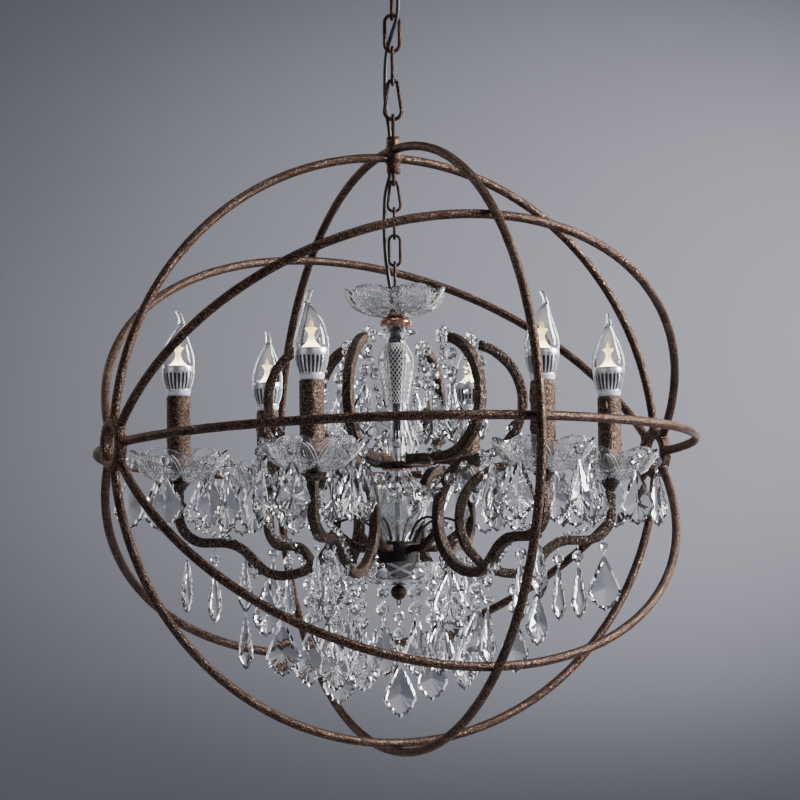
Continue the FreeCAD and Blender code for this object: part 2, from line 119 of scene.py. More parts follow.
class Recipe:
    """A node material while it is put together, its patterns on object coordinates."""

    def __init__(self, name: str) -> None:
        """Starts a material with one Principled shader.

        Args:
            name: Name of the material.
        """
        self.material = bpy.data.materials.new(name)
        self.material.use_nodes = True
        self.tree = self.material.node_tree
        self.place = self.add("TexCoord", "Object")

    def fill(self, node: bpy.types.Node, **inputs: object) -> None:
        """Links sockets to a node's inputs and sets the others to values.

        Args:
            node: The node.
            inputs: Sockets and values; an underscore stands for a space in their names.
        """
        for name, value in inputs.items():
            socket = node.inputs[name.replace("_", " ")]
            if isinstance(value, Socket):
                self.tree.links.new(value, socket)
            else:
                socket.default_value = value

    def add(self, kind: str, output: str, **inputs: object) -> Socket:
        """Adds a node and hands back one of its outputs.

        Args:
            kind: The node's type without its first word.
            output: Name of the output.
            inputs: Sockets and values of its inputs.

        Returns:
            The output's socket.
        """
        node = self.tree.nodes.new(f"ShaderNode{kind}")
        self.fill(node, **inputs)
        return node.outputs[output]

    def surface(self, **inputs: object) -> bpy.types.Material:
        """Fills the shader and hands back the finished material."""
        self.fill(self.tree.nodes["Principled BSDF"], **inputs)
        return self.material

    def noise(self, size: float, detail: float = 4.0, stretch: Point = (1, 1, 1),
              rough: float = 0.55) -> Socket:
        """Cloudy noise with spots of about a size in millimetres.

        Args:
            size: Size of a spot.
            detail: Octaves.
            stretch: How much longer the spots are along each axis.
            rough: Weight of the finer octaves.

        Returns:
            The noise value's socket.
        """
        spread = self.add("Mapping", "Vector", Vector=self.place, Scale=[1 / s for s in stretch])
        return self.add("TexNoise", "Fac", Vector=spread, Scale=1 / (size * MM), Detail=detail,
                        Roughness=rough)

    def cells(self, size: float) -> Socket:
        """Distance to the nearest of many scattered points, for pits and grains."""
        return self.add("TexVoronoi", "Distance", Vector=self.place, Scale=1 / (size * MM))

    def ramp(self, source: Socket, *stops: tuple[float, Point]) -> Socket:
        """A colour ramp.

        Args:
            source: The value that it reads.
            stops: Places from 0 to 1, each with its colour.

        Returns:
            The colour's socket.
        """
        node = self.tree.nodes.new("ShaderNodeValToRGB")
        bar = node.color_ramp.elements
        while len(bar) < len(stops):
            bar.new(0.5)
        for element, (where, colour) in zip(bar, stops):
            element.position = where
            element.color = (*colour, 1.0)
        self.fill(node, Fac=source)
        return node.outputs["Color"]

    def grade(self, source: Socket, low: float, high: float, first: float = 0.3,
              last: float = 0.7) -> Socket:
        """Maps a value's range from first to last onto low to high."""
        return self.add("MapRange", "Result", Value=source, From_Min=first, From_Max=last,
                        To_Min=low, To_Max=high)

    def mix(self, factor: Socket, first: Socket, second: Socket) -> Socket:
        """Two colours mixed.

        Args:
            factor: Share of the second colour.
            first: The first colour.
            second: The second colour.

        Returns:
            The colour's socket.
        """
        node = self.tree.nodes.new("ShaderNodeMix")
        node.data_type = "RGBA"
        # The node's socket names repeat for each data type, so its colours go by number.
        for index, source in ((0, factor), (6, first), (7, second)):
            self.tree.links.new(source, node.inputs[index])
        return node.outputs[2]

    def bump(self, height: Socket, depth: float, strength: float, **under: Socket) -> Socket:
        """Bump of a depth in millimetres.

        Args:
            height: The height's socket.
            depth: Depth of the relief.
            strength: Share of the relief that shows.
            under: The Normal of a bump underneath, if any.

        Returns:
            The normal's socket.
        """
        return self.add("Bump", "Normal", Height=height, Distance=depth * MM, Strength=strength,
                        **under)


@dataclass(frozen=True)
class Finish:
    """How one kind of surface looks: its name and the record's slot, which is not used."""

    name: str
    slot: str

    def build(self, mix: Recipe) -> bpy.types.Material:
        """Puts the material together; each kind of finish has its own way."""
        raise NotImplementedError

    def material(self) -> bpy.types.Material:
        """The finish's material, made once."""
        return bpy.data.materials.get(self.name) or self.build(Recipe(self.name))


@dataclass(frozen=True)
class Clouded(Finish):
    """Metal, glass or plastic whose colour and gloss follow one cloud, over a fine bump.

    The colour runs from low to high and the roughness along shine. cloud and grain are the
    noises of colour and bump, and cuts is the depth of pressed cells on top.
    """

    low: Point
    high: Point
    shine: Point
    cloud: tuple = (8.0, 3)
    grain: tuple = (0.8, 2)
    depth: float = 0.05
    strength: float = 0.5
    cuts: float = 0.0
    metallic: float = 0.0
    clear: float = 0.0
    ior: float = 1.5
    coat: float = 0.0

    def build(self, mix: Recipe) -> bpy.types.Material:
        """Cloud, gloss and bump.

        Args:
            mix: The recipe that the nodes go into.

        Returns:
            The material.
        """
        cloud = mix.noise(*self.cloud)
        relief = mix.bump(mix.noise(*self.grain), self.depth, self.strength)
        if self.cuts:
            relief = mix.bump(mix.cells(3.4), self.cuts, 0.8, Normal=relief)
        return mix.surface(
            Base_Color=mix.ramp(cloud, (0.3, self.low), (0.7, self.high)),
            Roughness=mix.grade(cloud, *self.shine), Metallic=self.metallic,
            Transmission_Weight=self.clear, IOR=self.ior, Coat_Weight=self.coat, Normal=relief)


@dataclass(frozen=True)
class RustPaint(Finish):
    """Brown iron paint, hammered and speckled, with copper showing on worn spots."""

    middle: Point
    worn: Point
    worn_from: float
    relief: float = 0.8
    dark: Point = (0.009, 0.0045, 0.003)

    def build(self, mix: Recipe) -> bpy.types.Material:
        """Blotches, fine speckles and a hammered bump.

        Args:
            mix: The recipe that the nodes go into.

        Returns:
            The material.
        """
        speckle = mix.noise(1.35, 5, rough=0.72)
        blotch = mix.noise(22.0, 4)
        ground = mix.ramp(blotch, (0.35, self.dark), (0.62, self.middle))
        fleck = mix.ramp(speckle, (0.43, self.dark), (0.52, self.middle),
                         (self.worn_from + 0.09, self.worn))
        coarse = mix.bump(mix.noise(4.5, 3), self.relief * 1.6, 0.7)
        return mix.surface(
            Base_Color=mix.mix(mix.grade(blotch, 0.45, 0.95, 0.3, 0.65), ground, fleck),
            Roughness=mix.grade(speckle, 0.64, 0.3), Metallic=0.8, Specular_IOR_Level=0.25,
            Specular_Tint=(0.84, 0.70, 0.62, 1.0),
            Normal=mix.bump(mix.cells(1.3), self.relief, 0.8, Normal=coarse))


@dataclass(frozen=True)
class WaxedSleeve(Finish):
    """The candle sleeves' dark brown, crusted like old wax and dusted with bronze."""

    def build(self, mix: Recipe) -> bpy.types.Material:
        """Crust, dark pits and bronze dust.

        Args:
            mix: The recipe that the nodes go into.

        Returns:
            The material.
        """
        crust = mix.noise(1.7, 6, rough=0.7)
        patch = mix.noise(14.0, 3, stretch=(1, 1, 2.5))
        colour = mix.ramp(crust, (0.38, (0.010, 0.006, 0.004)), (0.52, (0.058, 0.037, 0.028)),
                          (0.66, (0.50, 0.36, 0.29)))
        base = mix.ramp(patch, (0.35, (0.022, 0.014, 0.011)), (0.7, (0.085, 0.055, 0.042)))
        return mix.surface(
            Base_Color=mix.mix(mix.grade(patch, 0.5, 0.95), base, colour),
            Roughness=mix.grade(crust, 0.68, 0.36), Metallic=0.6, Specular_IOR_Level=0.3,
            Specular_Tint=(0.7, 0.52, 0.44, 1.0), Normal=mix.bump(crust, 1.1, 0.9))


@dataclass(frozen=True)
class Glow(Finish):
    """The lit core of a lamp, brightest at its foot."""

    foot: float = 92.0
    tip: float = 126.0

    def build(self, mix: Recipe) -> bpy.types.Material:
        """Warm light that fades upwards.

        Args:
            mix: The recipe that the nodes go into.

        Returns:
            The material.
        """
        height = mix.add("SeparateXYZ", "Z", Vector=mix.place)
        fade = mix.grade(height, 0.0, 1.0, spot(0, 0, self.foot).z, spot(0, 0, self.tip).z)
        light = mix.ramp(fade, (0.0, (1.0, 0.88, 0.58)), (0.16, (0.72, 0.6, 0.34)),
                         (0.34, (0.34, 0.27, 0.11)), (0.60, (0.46, 0.37, 0.15)),
                         (0.66, (0.09, 0.07, 0.03)), (1.0, (0.03, 0.02, 0.01)))
        return mix.surface(
            Base_Color=mix.ramp(fade, (0.0, (1.0, 0.95, 0.8)), (1.0, (1.0, 0.9, 0.62))),
            Emission_Color=light, Emission_Strength=2.6, Roughness=0.22,
            Transmission_Weight=0.75, IOR=1.45)


@dataclass(frozen=True)
class Backdrop(Finish):
    """Plain pale studio floor and wall."""

    tone: Point = (0.34, 0.34, 0.39)

    def build(self, mix: Recipe) -> bpy.types.Material:
        """Matt paint with a trace of unevenness.

        Args:
            mix: The recipe that the nodes go into.

        Returns:
            The material.
        """
        low = [c * 0.96 for c in self.tone]
        return mix.surface(Roughness=0.9, Specular_IOR_Level=0.1, Base_Color=mix.ramp(
            mix.noise(900.0, 2), (0.3, low), (0.7, self.tone)))


def zinc(name: str, slot: str, tone: float) -> Clouded:
    """Plated metal with faint spangles and fine scratches."""
    return Clouded(name, slot, (tone * 0.75,) * 3, (tone, tone, tone * 1.04), (0.42, 0.24),
                   (5.0, 3), (0.9, 3, (1, 1, 12)), strength=0.6, metallic=1.0)


def glass(name: str, slot: str, tint: Point, ior: float, ripple: float,
          cuts: float = 0.0) -> Clouded:
    """Clear glass with a faint ripple and a trace of haze."""
    return Clouded(name, slot, tint, (1.0, 1.0, 1.0), (0.0, 0.03), (11.0, 3), (6.0, 2), ripple,
                   cuts=cuts, clear=1.0, ior=ior)


def frost(name: str, tone: float) -> Clouded:
    """Ground glass of the cut lines."""
    return Clouded(name, "cut_glass", (tone * 0.87,) * 3, (tone,) * 3, (0.55, 0.25), (3.0, 3),
                   (0.7, 2), clear=0.45)


def moulding(name: str, slot: str, tone: Point) -> Clouded:
    """Pale moulded plastic of the lamp collars and holders."""
    return Clouded(name, slot, [c * 0.93 for c in tone], tone, (0.42, 0.3), depth=0.03, coat=0.2)


RUST = RustPaint("speckled_rust", "rust_iron", (0.040, 0.022, 0.016), (0.56, 0.39, 0.31), 0.60,
                 0.6)
LINK_RUST = RustPaint("link_rust", "rust_iron", (0.032, 0.020, 0.015), (0.30, 0.21, 0.17), 0.60)
ARM_RUST = RustPaint("arm_rust", "rust_iron", (0.030, 0.021, 0.017), (0.46, 0.35, 0.29), 0.58)
DRUM_RUST = RustPaint("drum_rust", "rust_iron", (0.022, 0.021, 0.020), (0.10, 0.095, 0.09), 0.62,
                      0.4, (0.008, 0.008, 0.008))
WELD = RustPaint("weld_rust", "rust_iron", (0.07, 0.038, 0.027), (0.56, 0.39, 0.31), 0.54, 0.9)
SLEEVE = WaxedSleeve("waxed_sleeve", "rust_iron")
ZINC = zinc("plated_zinc", "zinc_steel", 0.5)
# Near-black filling for the upper vase's bore: painted shade for the dark middle seen through the
# glass.
VASE_BORE_SHADE = zinc("vase_core_metal", "zinc_steel", 0.03)
LAMP_BODY = zinc("lamp_body_metal", "bulb_glass", 0.12)
FIN_METAL = zinc("lamp_fin_metal", "bulb_glass", 0.86)
PIN_METAL = zinc("crystal_pin_metal", "crystal", 0.82)
COPPER = Clouded("rose_copper", "copper", (0.22, 0.10, 0.07), (0.55, 0.30, 0.23), (0.34, 0.2),
                 (7.0, 4), (1.1, 2), 0.02, metallic=1.0)
CUT_GLASS = glass("clear_cut_glass", "cut_glass", (0.97, 0.985, 0.99), 1.5, 0.05)
PRESSED_GLASS = glass("pressed_glass", "cut_glass", (0.97, 0.985, 0.99), 1.5, 0.05, 0.35)
CRYSTAL = glass("clear_crystal", "crystal", (0.985, 0.99, 1.0), 1.56, 0.02)
FLAME_GLASS = glass("flame_glass", "bulb_glass", (1.0, 0.995, 0.98), 1.46, 0.05)
FROST = frost("white_frost", 1.0)
GREY_FROST = frost("grey_frost", 0.45)
CABLE = Clouded("black_sheath", "cable_black", (0.008, 0.008, 0.009), (0.0136, 0.0136, 0.0153),
                (0.56, 0.39), (9.0, 3, (1, 1, 3)), (1.4, 3), 0.04)
COLLAR = moulding("white_collar", "bulb_glass", (0.80, 0.80, 0.84))
HOLDER = moulding("cream_holder", "holder_plastic", (0.78, 0.76, 0.70))
GLOW = Glow("lamp_glow", "bulb_glass")
BACKDROP = Backdrop("studio_paint", "")


def deselect() -> None:
    """Leaves edit mode and clears the selection."""
    active = bpy.context.view_layer.objects.active
    if active is not None and active.mode != "OBJECT":
        bpy.ops.object.mode_set(mode="OBJECT")
    bpy.ops.object.select_all(action="DESELECT")


def activate(*pieces: Piece) -> None:
    """Selects some objects alone.

    Args:
        pieces: The objects, the active one first.
    """
    deselect()
    for piece in pieces:
        piece.select_set(True)
    bpy.context.view_layer.objects.active = pieces[0]


def pick_all() -> None:
    """Selects every corner, edge and face of the mesh in edit mode."""
    bpy.ops.mesh.select_mode(type="VERT")
    bpy.ops.mesh.select_all(action="SELECT")


def merged(name: str, pieces: Sequence[Piece]) -> Piece:
    """Joins objects, with their places in their corners.

    Args:
        name: Name of the joined object and its mesh.
        pieces: The objects.

    Returns:
        The joined object.
    """
    activate(*pieces)
    if len(pieces) > 1:
        bpy.ops.object.join()
    bpy.ops.object.transform_apply()
    pieces[0].name = pieces[0].data.name = name
    return pieces[0]


class Part(Enum):
    """The parts of a mesh that a rule selects, with their names in Blender."""

    CORNER = "VERT"
    EDGE = "EDGE"
    FACE = "FACE"


@dataclass
class Blank:
    """A primitive that operators shape into a piece."""

    piece: Piece

    @classmethod
    def take(cls, name: str) -> "Blank":
        """Names the primitive just added and opens it for shaping, all selected."""
        return cls(merged(name, [bpy.context.object])).reopen()

    @classmethod
    def circle(cls, name: str, radius: float, centre: Point, sides: int, filled: bool = False,
               turn: Point = (0, 0, 0)) -> "Blank":
        """A circle.

        Args:
            name: Name of the piece.
            radius: Its radius.
            centre: Its centre.
            sides: Its corners.
            filled: Whether it has a face.
            turn: Turns from level in degrees about X, Y and Z.

        Returns:
            The blank, still in edit mode.
        """
        deselect()
        bpy.ops.mesh.primitive_circle_add(
            vertices=sides, radius=radius * MM, fill_type="NGON" if filled else "NOTHING",
            location=spot(*centre), rotation=[math.radians(t) for t in turn])
        return cls.take(name)

    @classmethod
    def hoop(cls, name: str, radius: float, wire: float, turn: Point = (0, 0, 0),
             around: int = 288, across: int = 16) -> "Blank":
        """A torus about the middle of the cage.

        Args:
            name: Name of the piece.
            radius: Radius of its centre line.
            wire: Radius of its wire.
            turn: Turns from level in degrees about X, Y and Z.
            around: Steps along the wire.
            across: Steps round the wire.

        Returns:
            The blank, still in edit mode.
        """
        deselect()
        bpy.ops.mesh.primitive_torus_add(
            major_radius=radius * MM, minor_radius=wire * MM, major_segments=around,
            minor_segments=across, location=spot(0, 0, 0),
            rotation=[math.radians(t) for t in turn])
        return cls.take(name)

    @classmethod
    def ball(cls, name: str, radius: float, centre: Point, detail: int) -> "Blank":
        """A geodesic ball.

        Args:
            name: Name of the piece.
            radius: Its radius.
            centre: Its centre.
            detail: How often its faces are divided.

        Returns:
            The blank, still in edit mode.
        """
        deselect()
        bpy.ops.mesh.primitive_ico_sphere_add(subdivisions=detail, radius=radius * MM,
                                              location=spot(*centre))
        return cls.take(name)

    @classmethod
    def turning(cls, name: str, profile: Sequence[Point], sides: int = 48) -> "Blank":
        """A turning about the Z axis: a circle extruded and resized level by level.

        Args:
            name: Name of the piece.
            profile: (radius, height) of each level. A radius of 0 becomes a pole, and a
                profile that ends where it starts closes on itself.
            sides: Corners of each circle.

        Returns:
            The blank, still in edit mode.
        """
        levels = [(max(r, 0.01), z) for r, z in profile]
        blank = cls.circle(name, levels[0][0], (0, 0, levels[0][1]), sides)
        for (r0, z0), (r1, z1) in zip(levels, levels[1:]):
            blank.push((0, 0, z1 - z0)).resize((r1 / r0, r1 / r0, 1))
        return blank.merge(0.04).cap()

    @classmethod
    def outline(cls, name: str, points: Sequence[Point]) -> "Blank":
        """A flat plate in the plane Y = 0, traced by extruding one corner.

        Args:
            name: Name of the piece.
            points: (x, z) of its corners in order.

        Returns:
            The blank, still in edit mode.
        """
        blank = cls.circle(name, 1.0, (points[0][0], 0, points[0][1]), 3)
        bpy.ops.mesh.merge(type="CENTER")
        for (x0, z0), (x1, z1) in zip(points, points[1:]):
            step = Vector((x1 - x0, 0, z1 - z0)) * MM
            bpy.ops.mesh.extrude_vertices_move(TRANSFORM_OT_translate={"value": step})
        pick_all()
        bpy.ops.mesh.edge_face_add()
        return blank

    @classmethod
    def square_bar(cls, name: str, bar: float, start: Point, heading_up: float) -> "Blank":
        """The filled end of a square bar that sets off in the X-Z plane.

        Args:
            name: Name of the piece.
            bar: Thickness of the bar.
            start: Middle of its end.
            heading_up: The angle above level that it sets off at.

        Returns:
            The blank, still in edit mode.
        """
        blank = cls.circle(name, bar / 2 * math.sqrt(2), start, 4, True, (0, 90 - heading_up, 0))
        turn = math.radians(heading_up)
        along = Vector((math.cos(turn), 0, math.sin(turn)))
        side = Vector((0, 1, 0))
        bpy.ops.transform.rotate(
            value=math.radians(45), center_override=spot(*start), orient_axis="Y",
            orient_matrix=Matrix((side.cross(along), along, side)).transposed())
        return blank

    def select(self, rule: Rule, part: Part = Part.CORNER) -> None:
        """Selects the parts whose middle, in millimetres, keeps the rule.

        Args:
            rule: Called with the middle and the part.
            part: The kind of part.
        """
        bpy.ops.mesh.select_mode(type=part.value)
        bpy.ops.mesh.select_all(action="DESELECT")
        mesh = bmesh.from_edit_mesh(self.piece.data)
        kinds = {Part.CORNER: mesh.verts, Part.EDGE: mesh.edges, Part.FACE: mesh.faces}
        for one in kinds[part]:
            corners = [one] if part is Part.CORNER else one.verts
            middle = sum((v.co for v in corners), Vector()) / len(corners)
            if rule(middle / MM + Vector((0, 0, ORB_DROP)), one):
                one.select_set(True)
        mesh.select_flush_mode()
        bmesh.update_edit_mesh(self.piece.data)

    def push(self, move: Point) -> "Blank":
        """Extrudes what is selected by a move."""
        bpy.ops.mesh.extrude_region_move(TRANSFORM_OT_translate={"value": Vector(move) * MM})
        return self

    def shift(self, move: Point) -> "Blank":
        """Moves what is selected."""
        bpy.ops.transform.translate(value=Vector(move) * MM)
        return self

    def resize(self, scale: Point, centre: Point = (0, 0, 0)) -> "Blank":
        """Resizes what is selected about a centre."""
        bpy.ops.transform.resize(value=scale, center_override=spot(*centre))
        return self

    def swing(self, centre: Point, degrees: float, steps: int) -> "Blank":
        """Spins what is selected in the X-Z plane.

        Args:
            centre: (x, z) of the axis.
            degrees: The turn, from +X towards +Z where positive.
            steps: Steps that it takes.

        Returns:
            The blank.
        """
        bpy.ops.mesh.spin(steps=steps, angle=math.radians(abs(degrees)),
                          center=spot(centre[0], 0, centre[1]),
                          axis=(0, math.copysign(1, degrees), 0))
        return self

    def thicken(self, width: float) -> "Blank":
        """Gives a flat plate a thickness, half to each side of the plane Y = 0.

        Args:
            width: The thickness.

        Returns:
            The blank.
        """
        self.push((0, width, 0))
        pick_all()
        return self.shift((0, -width / 2, 0))

    def inset(self, width: float, depth: float, each: bool = False) -> "Blank":
        """Insets the selected faces, as one or each by itself."""
        bpy.ops.mesh.inset(thickness=width * MM, depth=depth * MM, use_individual=each)
        return self

    def merge(self, reach: float = 0.01) -> "Blank":
        """Merges corners that are close to each other.

        Args:
            reach: The greatest distance between two that are merged.

        Returns:
            The blank.
        """
        pick_all()
        bpy.ops.mesh.remove_doubles(threshold=reach * MM)
        return self

    def cap(self) -> "Blank":
        """Closes open rims with faces.

        Returns:
            The blank.
        """
        pick_all()
        bpy.ops.mesh.fill_holes(sides=0)
        return self

    def outward(self, inside: bool = False) -> "Blank":
        """Turns all faces outwards, or inwards for a room.

        Args:
            inside: Whether they point inwards.

        Returns:
            The blank.
        """
        pick_all()
        bpy.ops.mesh.normals_make_consistent(inside=inside)
        return self

    def divide_long(self, limit: float, cuts: int) -> "Blank":
        """Cuts long edges.

        Args:
            limit: The greatest length that stays whole.
            cuts: Cuts in each longer edge.

        Returns:
            The blank.
        """
        self.select(lambda p, e: e.calc_length() > limit * MM, Part.EDGE)
        bpy.ops.mesh.subdivide(number_cuts=cuts)
        return self

    def close(self) -> Piece:
        """Leaves edit mode with clean outward faces.

        Returns:
            The piece.
        """
        if self.piece.mode != "EDIT":
            self.reopen()
        self.merge().outward()
        activate(self.piece)
        return self.piece

    def reopen(self) -> "Blank":
        """Goes back to edit mode, all selected.

        Returns:
            The blank.
        """
        activate(self.piece)
        bpy.ops.object.mode_set(mode="EDIT")
        pick_all()
        return self

    def modifier(self, kind: str, **values: object) -> "Blank":
        """Adds a modifier outside edit mode and applies it.

        Args:
            kind: Type of the modifier.
            values: Its settings.

        Returns:
            The blank.
        """
        self.close()
        bpy.ops.object.modifier_add(type=kind)
        modifier = self.piece.modifiers[-1]
        for name, value in values.items():
            setattr(modifier, name, value)
        bpy.ops.object.modifier_apply(modifier=modifier.name)
        return self.reopen()

    def rough(self, depth: float, size: float) -> "Blank":
        """Beats the surface unevenly.

        Args:
            depth: Height of the marks from lowest to highest.
            size: Size of one mark.

        Returns:
            The blank.
        """
        marks = bpy.data.textures.new("beaten", "CLOUDS")
        marks.noise_scale = size * MM
        marks.noise_depth = 2
        return self.modifier("DISPLACE", texture=marks, strength=depth * MM, mid_level=0.5,
                             texture_coords="LOCAL")

    def beaten_bar(self) -> Piece:
        """Rounds a square bar's edges and hammers its faces.

        Returns:
            The piece, closed.
        """
        self.modifier("BEVEL", width=1.5 * MM, segments=2, limit_method="ANGLE",
                      angle_limit=math.radians(30))
        return self.divide_long(5.5, 2).rough(0.9, 7.0).close()

    def turned(self, *places: Matrix) -> "Blank":
        """Moves the whole piece.

        Args:
            places: The moves in order.

        Returns:
            The blank.
        """
        for place in places:
            self.close().matrix_world = place
            bpy.ops.object.transform_apply()
        return self.reopen()

    def finish(self, finish: Finish, body: str, *nodes: str, smooth: float = 50.0) -> Piece:
        """Closes and dresses the piece."""
        return dress(self.close(), finish, body, *nodes, smooth=smooth)


def dress(piece: Piece, finish: Finish, body: str, *nodes: str, smooth: float = 50.0) -> Piece:
    """Smooths a closed mesh, gives it its material and hangs it on its body.

    Args:
        piece: The closed mesh.
        finish: The surface.
        body: The CAD body that it rides on.
        nodes: CAD nodes that it stands for.
        smooth: Edges sharper than this many degrees stay sharp.

    Returns:
        The finished object.
    """
    coat(piece, finish, smooth)
    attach(piece, body)
    if nodes:
        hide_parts(*nodes)
    log.info("%s: %d faces on %s", piece.name, len(piece.data.polygons), body)
    return piece


def coat(piece: Piece, finish: Finish, smooth: float | None = None) -> None:
    """Gives an object a finish.

    Args:
        piece: The object.
        finish: The surface.
        smooth: Edges sharper than this stay sharp. A CAD mesh keeps its own shading.
    """
    if smooth is not None:
        activate(piece)
        bpy.ops.object.shade_smooth_by_angle(angle=math.radians(smooth))
    piece.data.materials.clear()
    piece.data.materials.append(finish.material())


def gather(name: str, *blanks: Blank) -> Blank:
    """Joins several blanks into one."""
    return Blank(merged(name, [blank.close() for blank in blanks])).reopen()


def stamp(name: str, master: Piece, places: Iterable[Matrix], keep: bool = False) -> Piece:
    """One mesh joined from copies of a closed master, each with its own mesh.

    Args:
        name: Name of the joined mesh.
        master: The mesh to copy.
        places: Where the copies go.
        keep: Whether the master is used again.

    Returns:
        The joined mesh, with its place in its corners.
    """
    copies = []
    for place in places:
        copy = master.copy()
        copy.data = master.data.copy()
        bpy.context.collection.objects.link(copy)
        copy.matrix_world = place
        copies.append(copy)
    if not keep:
        bpy.data.objects.remove(master)
    return merged(name, copies)


def tube(name: str, points: Sequence[Vector], radius: float, sides: int, steps: int) -> Blank:
    """A smooth round rod.

    Args:
        name: Name of the rod.
        points: The line that it follows, in metres.
        radius: Its radius.
        sides: Steps round each quarter of the rod.
        steps: Steps between two points.

    Returns:
        The blank, still in edit mode.
    """
    deselect()
    bpy.ops.curve.primitive_nurbs_path_add(location=(0, 0, 0))
    data = bpy.context.object.data
    data.splines.clear()
    spline = data.splines.new("NURBS")
    spline.points.add(len(points) - 1)
    for point, place in zip(spline.points, points):
        point.co = (*place, 1)
    spline.order_u = 3
    spline.use_endpoint_u = True
    spline.resolution_u = steps
    data.bevel_depth = radius * MM
    data.bevel_resolution = sides
    data.use_fill_caps = True
    bpy.ops.object.convert(target="MESH")
    return Blank.take(name)


def wire_eye(name: str, wire: float, radius: float, tip: float, root: float,
             yaw: float = FACING) -> Blank:
    """An eye of bent wire.

    Args:
        name: Name of the piece.
        wire: Thickness of the wire.
        radius: Radius of its centre line.
        tip: Height of its outermost point.
        root: Height of its two ends.
        yaw: Compass angle of its plane.

    Returns:
        The blank, still in edit mode.
    """
    way = math.copysign(1, tip - root)
    centre = tip - way * (wire / 2 + radius)
    eye = Blank.circle(name, wire / 2, (radius, 0, root), 14, filled=True)
    eye.push((0, 0, centre - root)).swing((0, centre), 180 * way, 16)
    return eye.push((0, 0, root - centre)).turned(placed(yaw=yaw))


def lifted(rise: float, *profile: Point) -> list[Point]:
    """A profile whose heights were counted from a level."""
    return [(r, z + rise) for r, z in profile]


@dataclass
class Chain:
    """Links that hang in each other, each a quarter turn from the next.

    name and body start the links' and the bodies' names, tops and lengths run down the
    chain, first is the quarter turn of the top link and pear the link that is pear shaped.
    """

    name: str
    body: str
    tops: Sequence[float]
    lengths: Sequence[float]
    width: float
    wire: float
    first: int
    pear: int

    def link(self, index: int) -> None:
        """Bends, closes and dresses one link.

        Args:
            index: Its number from the top, from 0.
        """
        top, half = self.tops[index], self.wire / 2
        narrow, broad = (0.74, 1.12) if index == self.pear else (1.0, 1.0)
        high = self.width * narrow / 2 - half
        wide = self.width * broad / 2 - half
        crown = top - half - high
        heel = top - self.lengths[index] + half + wide
        name = f"{self.name}_{index + 1}"
        link = Blank.circle(f"{name}_round", half, (high, 0, crown), 14)
        link.swing((0, crown), 180, 14).push((high - wide, 0, heel - crown))
        link.swing((0, heel), 180, 14).push((high - wide, 0, crown - heel))
        link.merge(0.02).divide_long(6.0, 11).rough(0.55, 2.6)
        link.turned(placed(yaw=FACING + 90 * ((self.first + index) % 2)))
        link.finish(LINK_RUST, f"{self.body}_{index + 1}", name)

    def build(self) -> None:
        """Makes all links."""
        for index in range(len(self.tops)):
            self.link(index)


@dataclass
class CeilingEnd:
    """Canopy, crossbar and the screw collar with its loop."""

    canopy_bottom: float = 559.9
    collar_bottom: float = 551.7
    eye_bottom: float = 523.5
    eye_radius: float = 8.0
    wire: float = 4.2

    def canopy(self) -> None:
        """A spun dome with a rolled rim."""
        low = self.canopy_bottom
        wall = lifted(low, (5.4, 0), (16, 0), (19, 0.9), (24, 2.6), (37, 6), (48, 11), (55, 16),
                      (58.4, 20), (59.4, 24))
        rim = lifted(ORB_DROP, (59.4, -3), (60, -2.4), (60, -0.6), (59.4, -0.1), (58.3, -0.1))
        inner = lifted(low, (58.0, 24.4), (54.0, 17.5), (36.2, 7.5), (17.5, 1.6), (5.4, 1.6),
                       (5.4, 0))
        dome = Blank.turning("canopy_dome", wall + rim + inner, 72).rough(0.25, 7.0)
        dome.finish(RUST, CEILING, "canopy", smooth=40)

    def collar(self) -> None:
        """A knurled collar that carries the loop."""
        low = self.collar_bottom
        ring = Blank.turning("canopy_collar", lifted(
            low, (0, 0), (7.5, 0), (9.5, 0.8), (11, 1.6), (11, 6.6), (10.2, 7.9), (5.4, 7.9),
            (5.4, 2.0), (0, 2.0)))
        ring.select(lambda p, f: math.hypot(p.x, p.y) > 10.9, Part.FACE)
        ring.inset(0.25, -0.35, each=True)
        eye = wire_eye("canopy_eye", self.wire, self.eye_radius, self.eye_bottom, low + 0.6)
        both = gather("canopy_collar_loop", ring, eye).rough(0.25, 3.0)
        both.finish(RUST, CEILING, "canopy_loop", smooth=40)

    def build(self) -> None:
        """Makes the ceiling end and dresses the CAD crossbar, nipple and nut."""
        self.canopy()
        self.collar()
        for node in ("crossbar", "nipple", "nipple_nut"):
            coat(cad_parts[node], ZINC)
            log.info("%s keeps its CAD mesh", node)


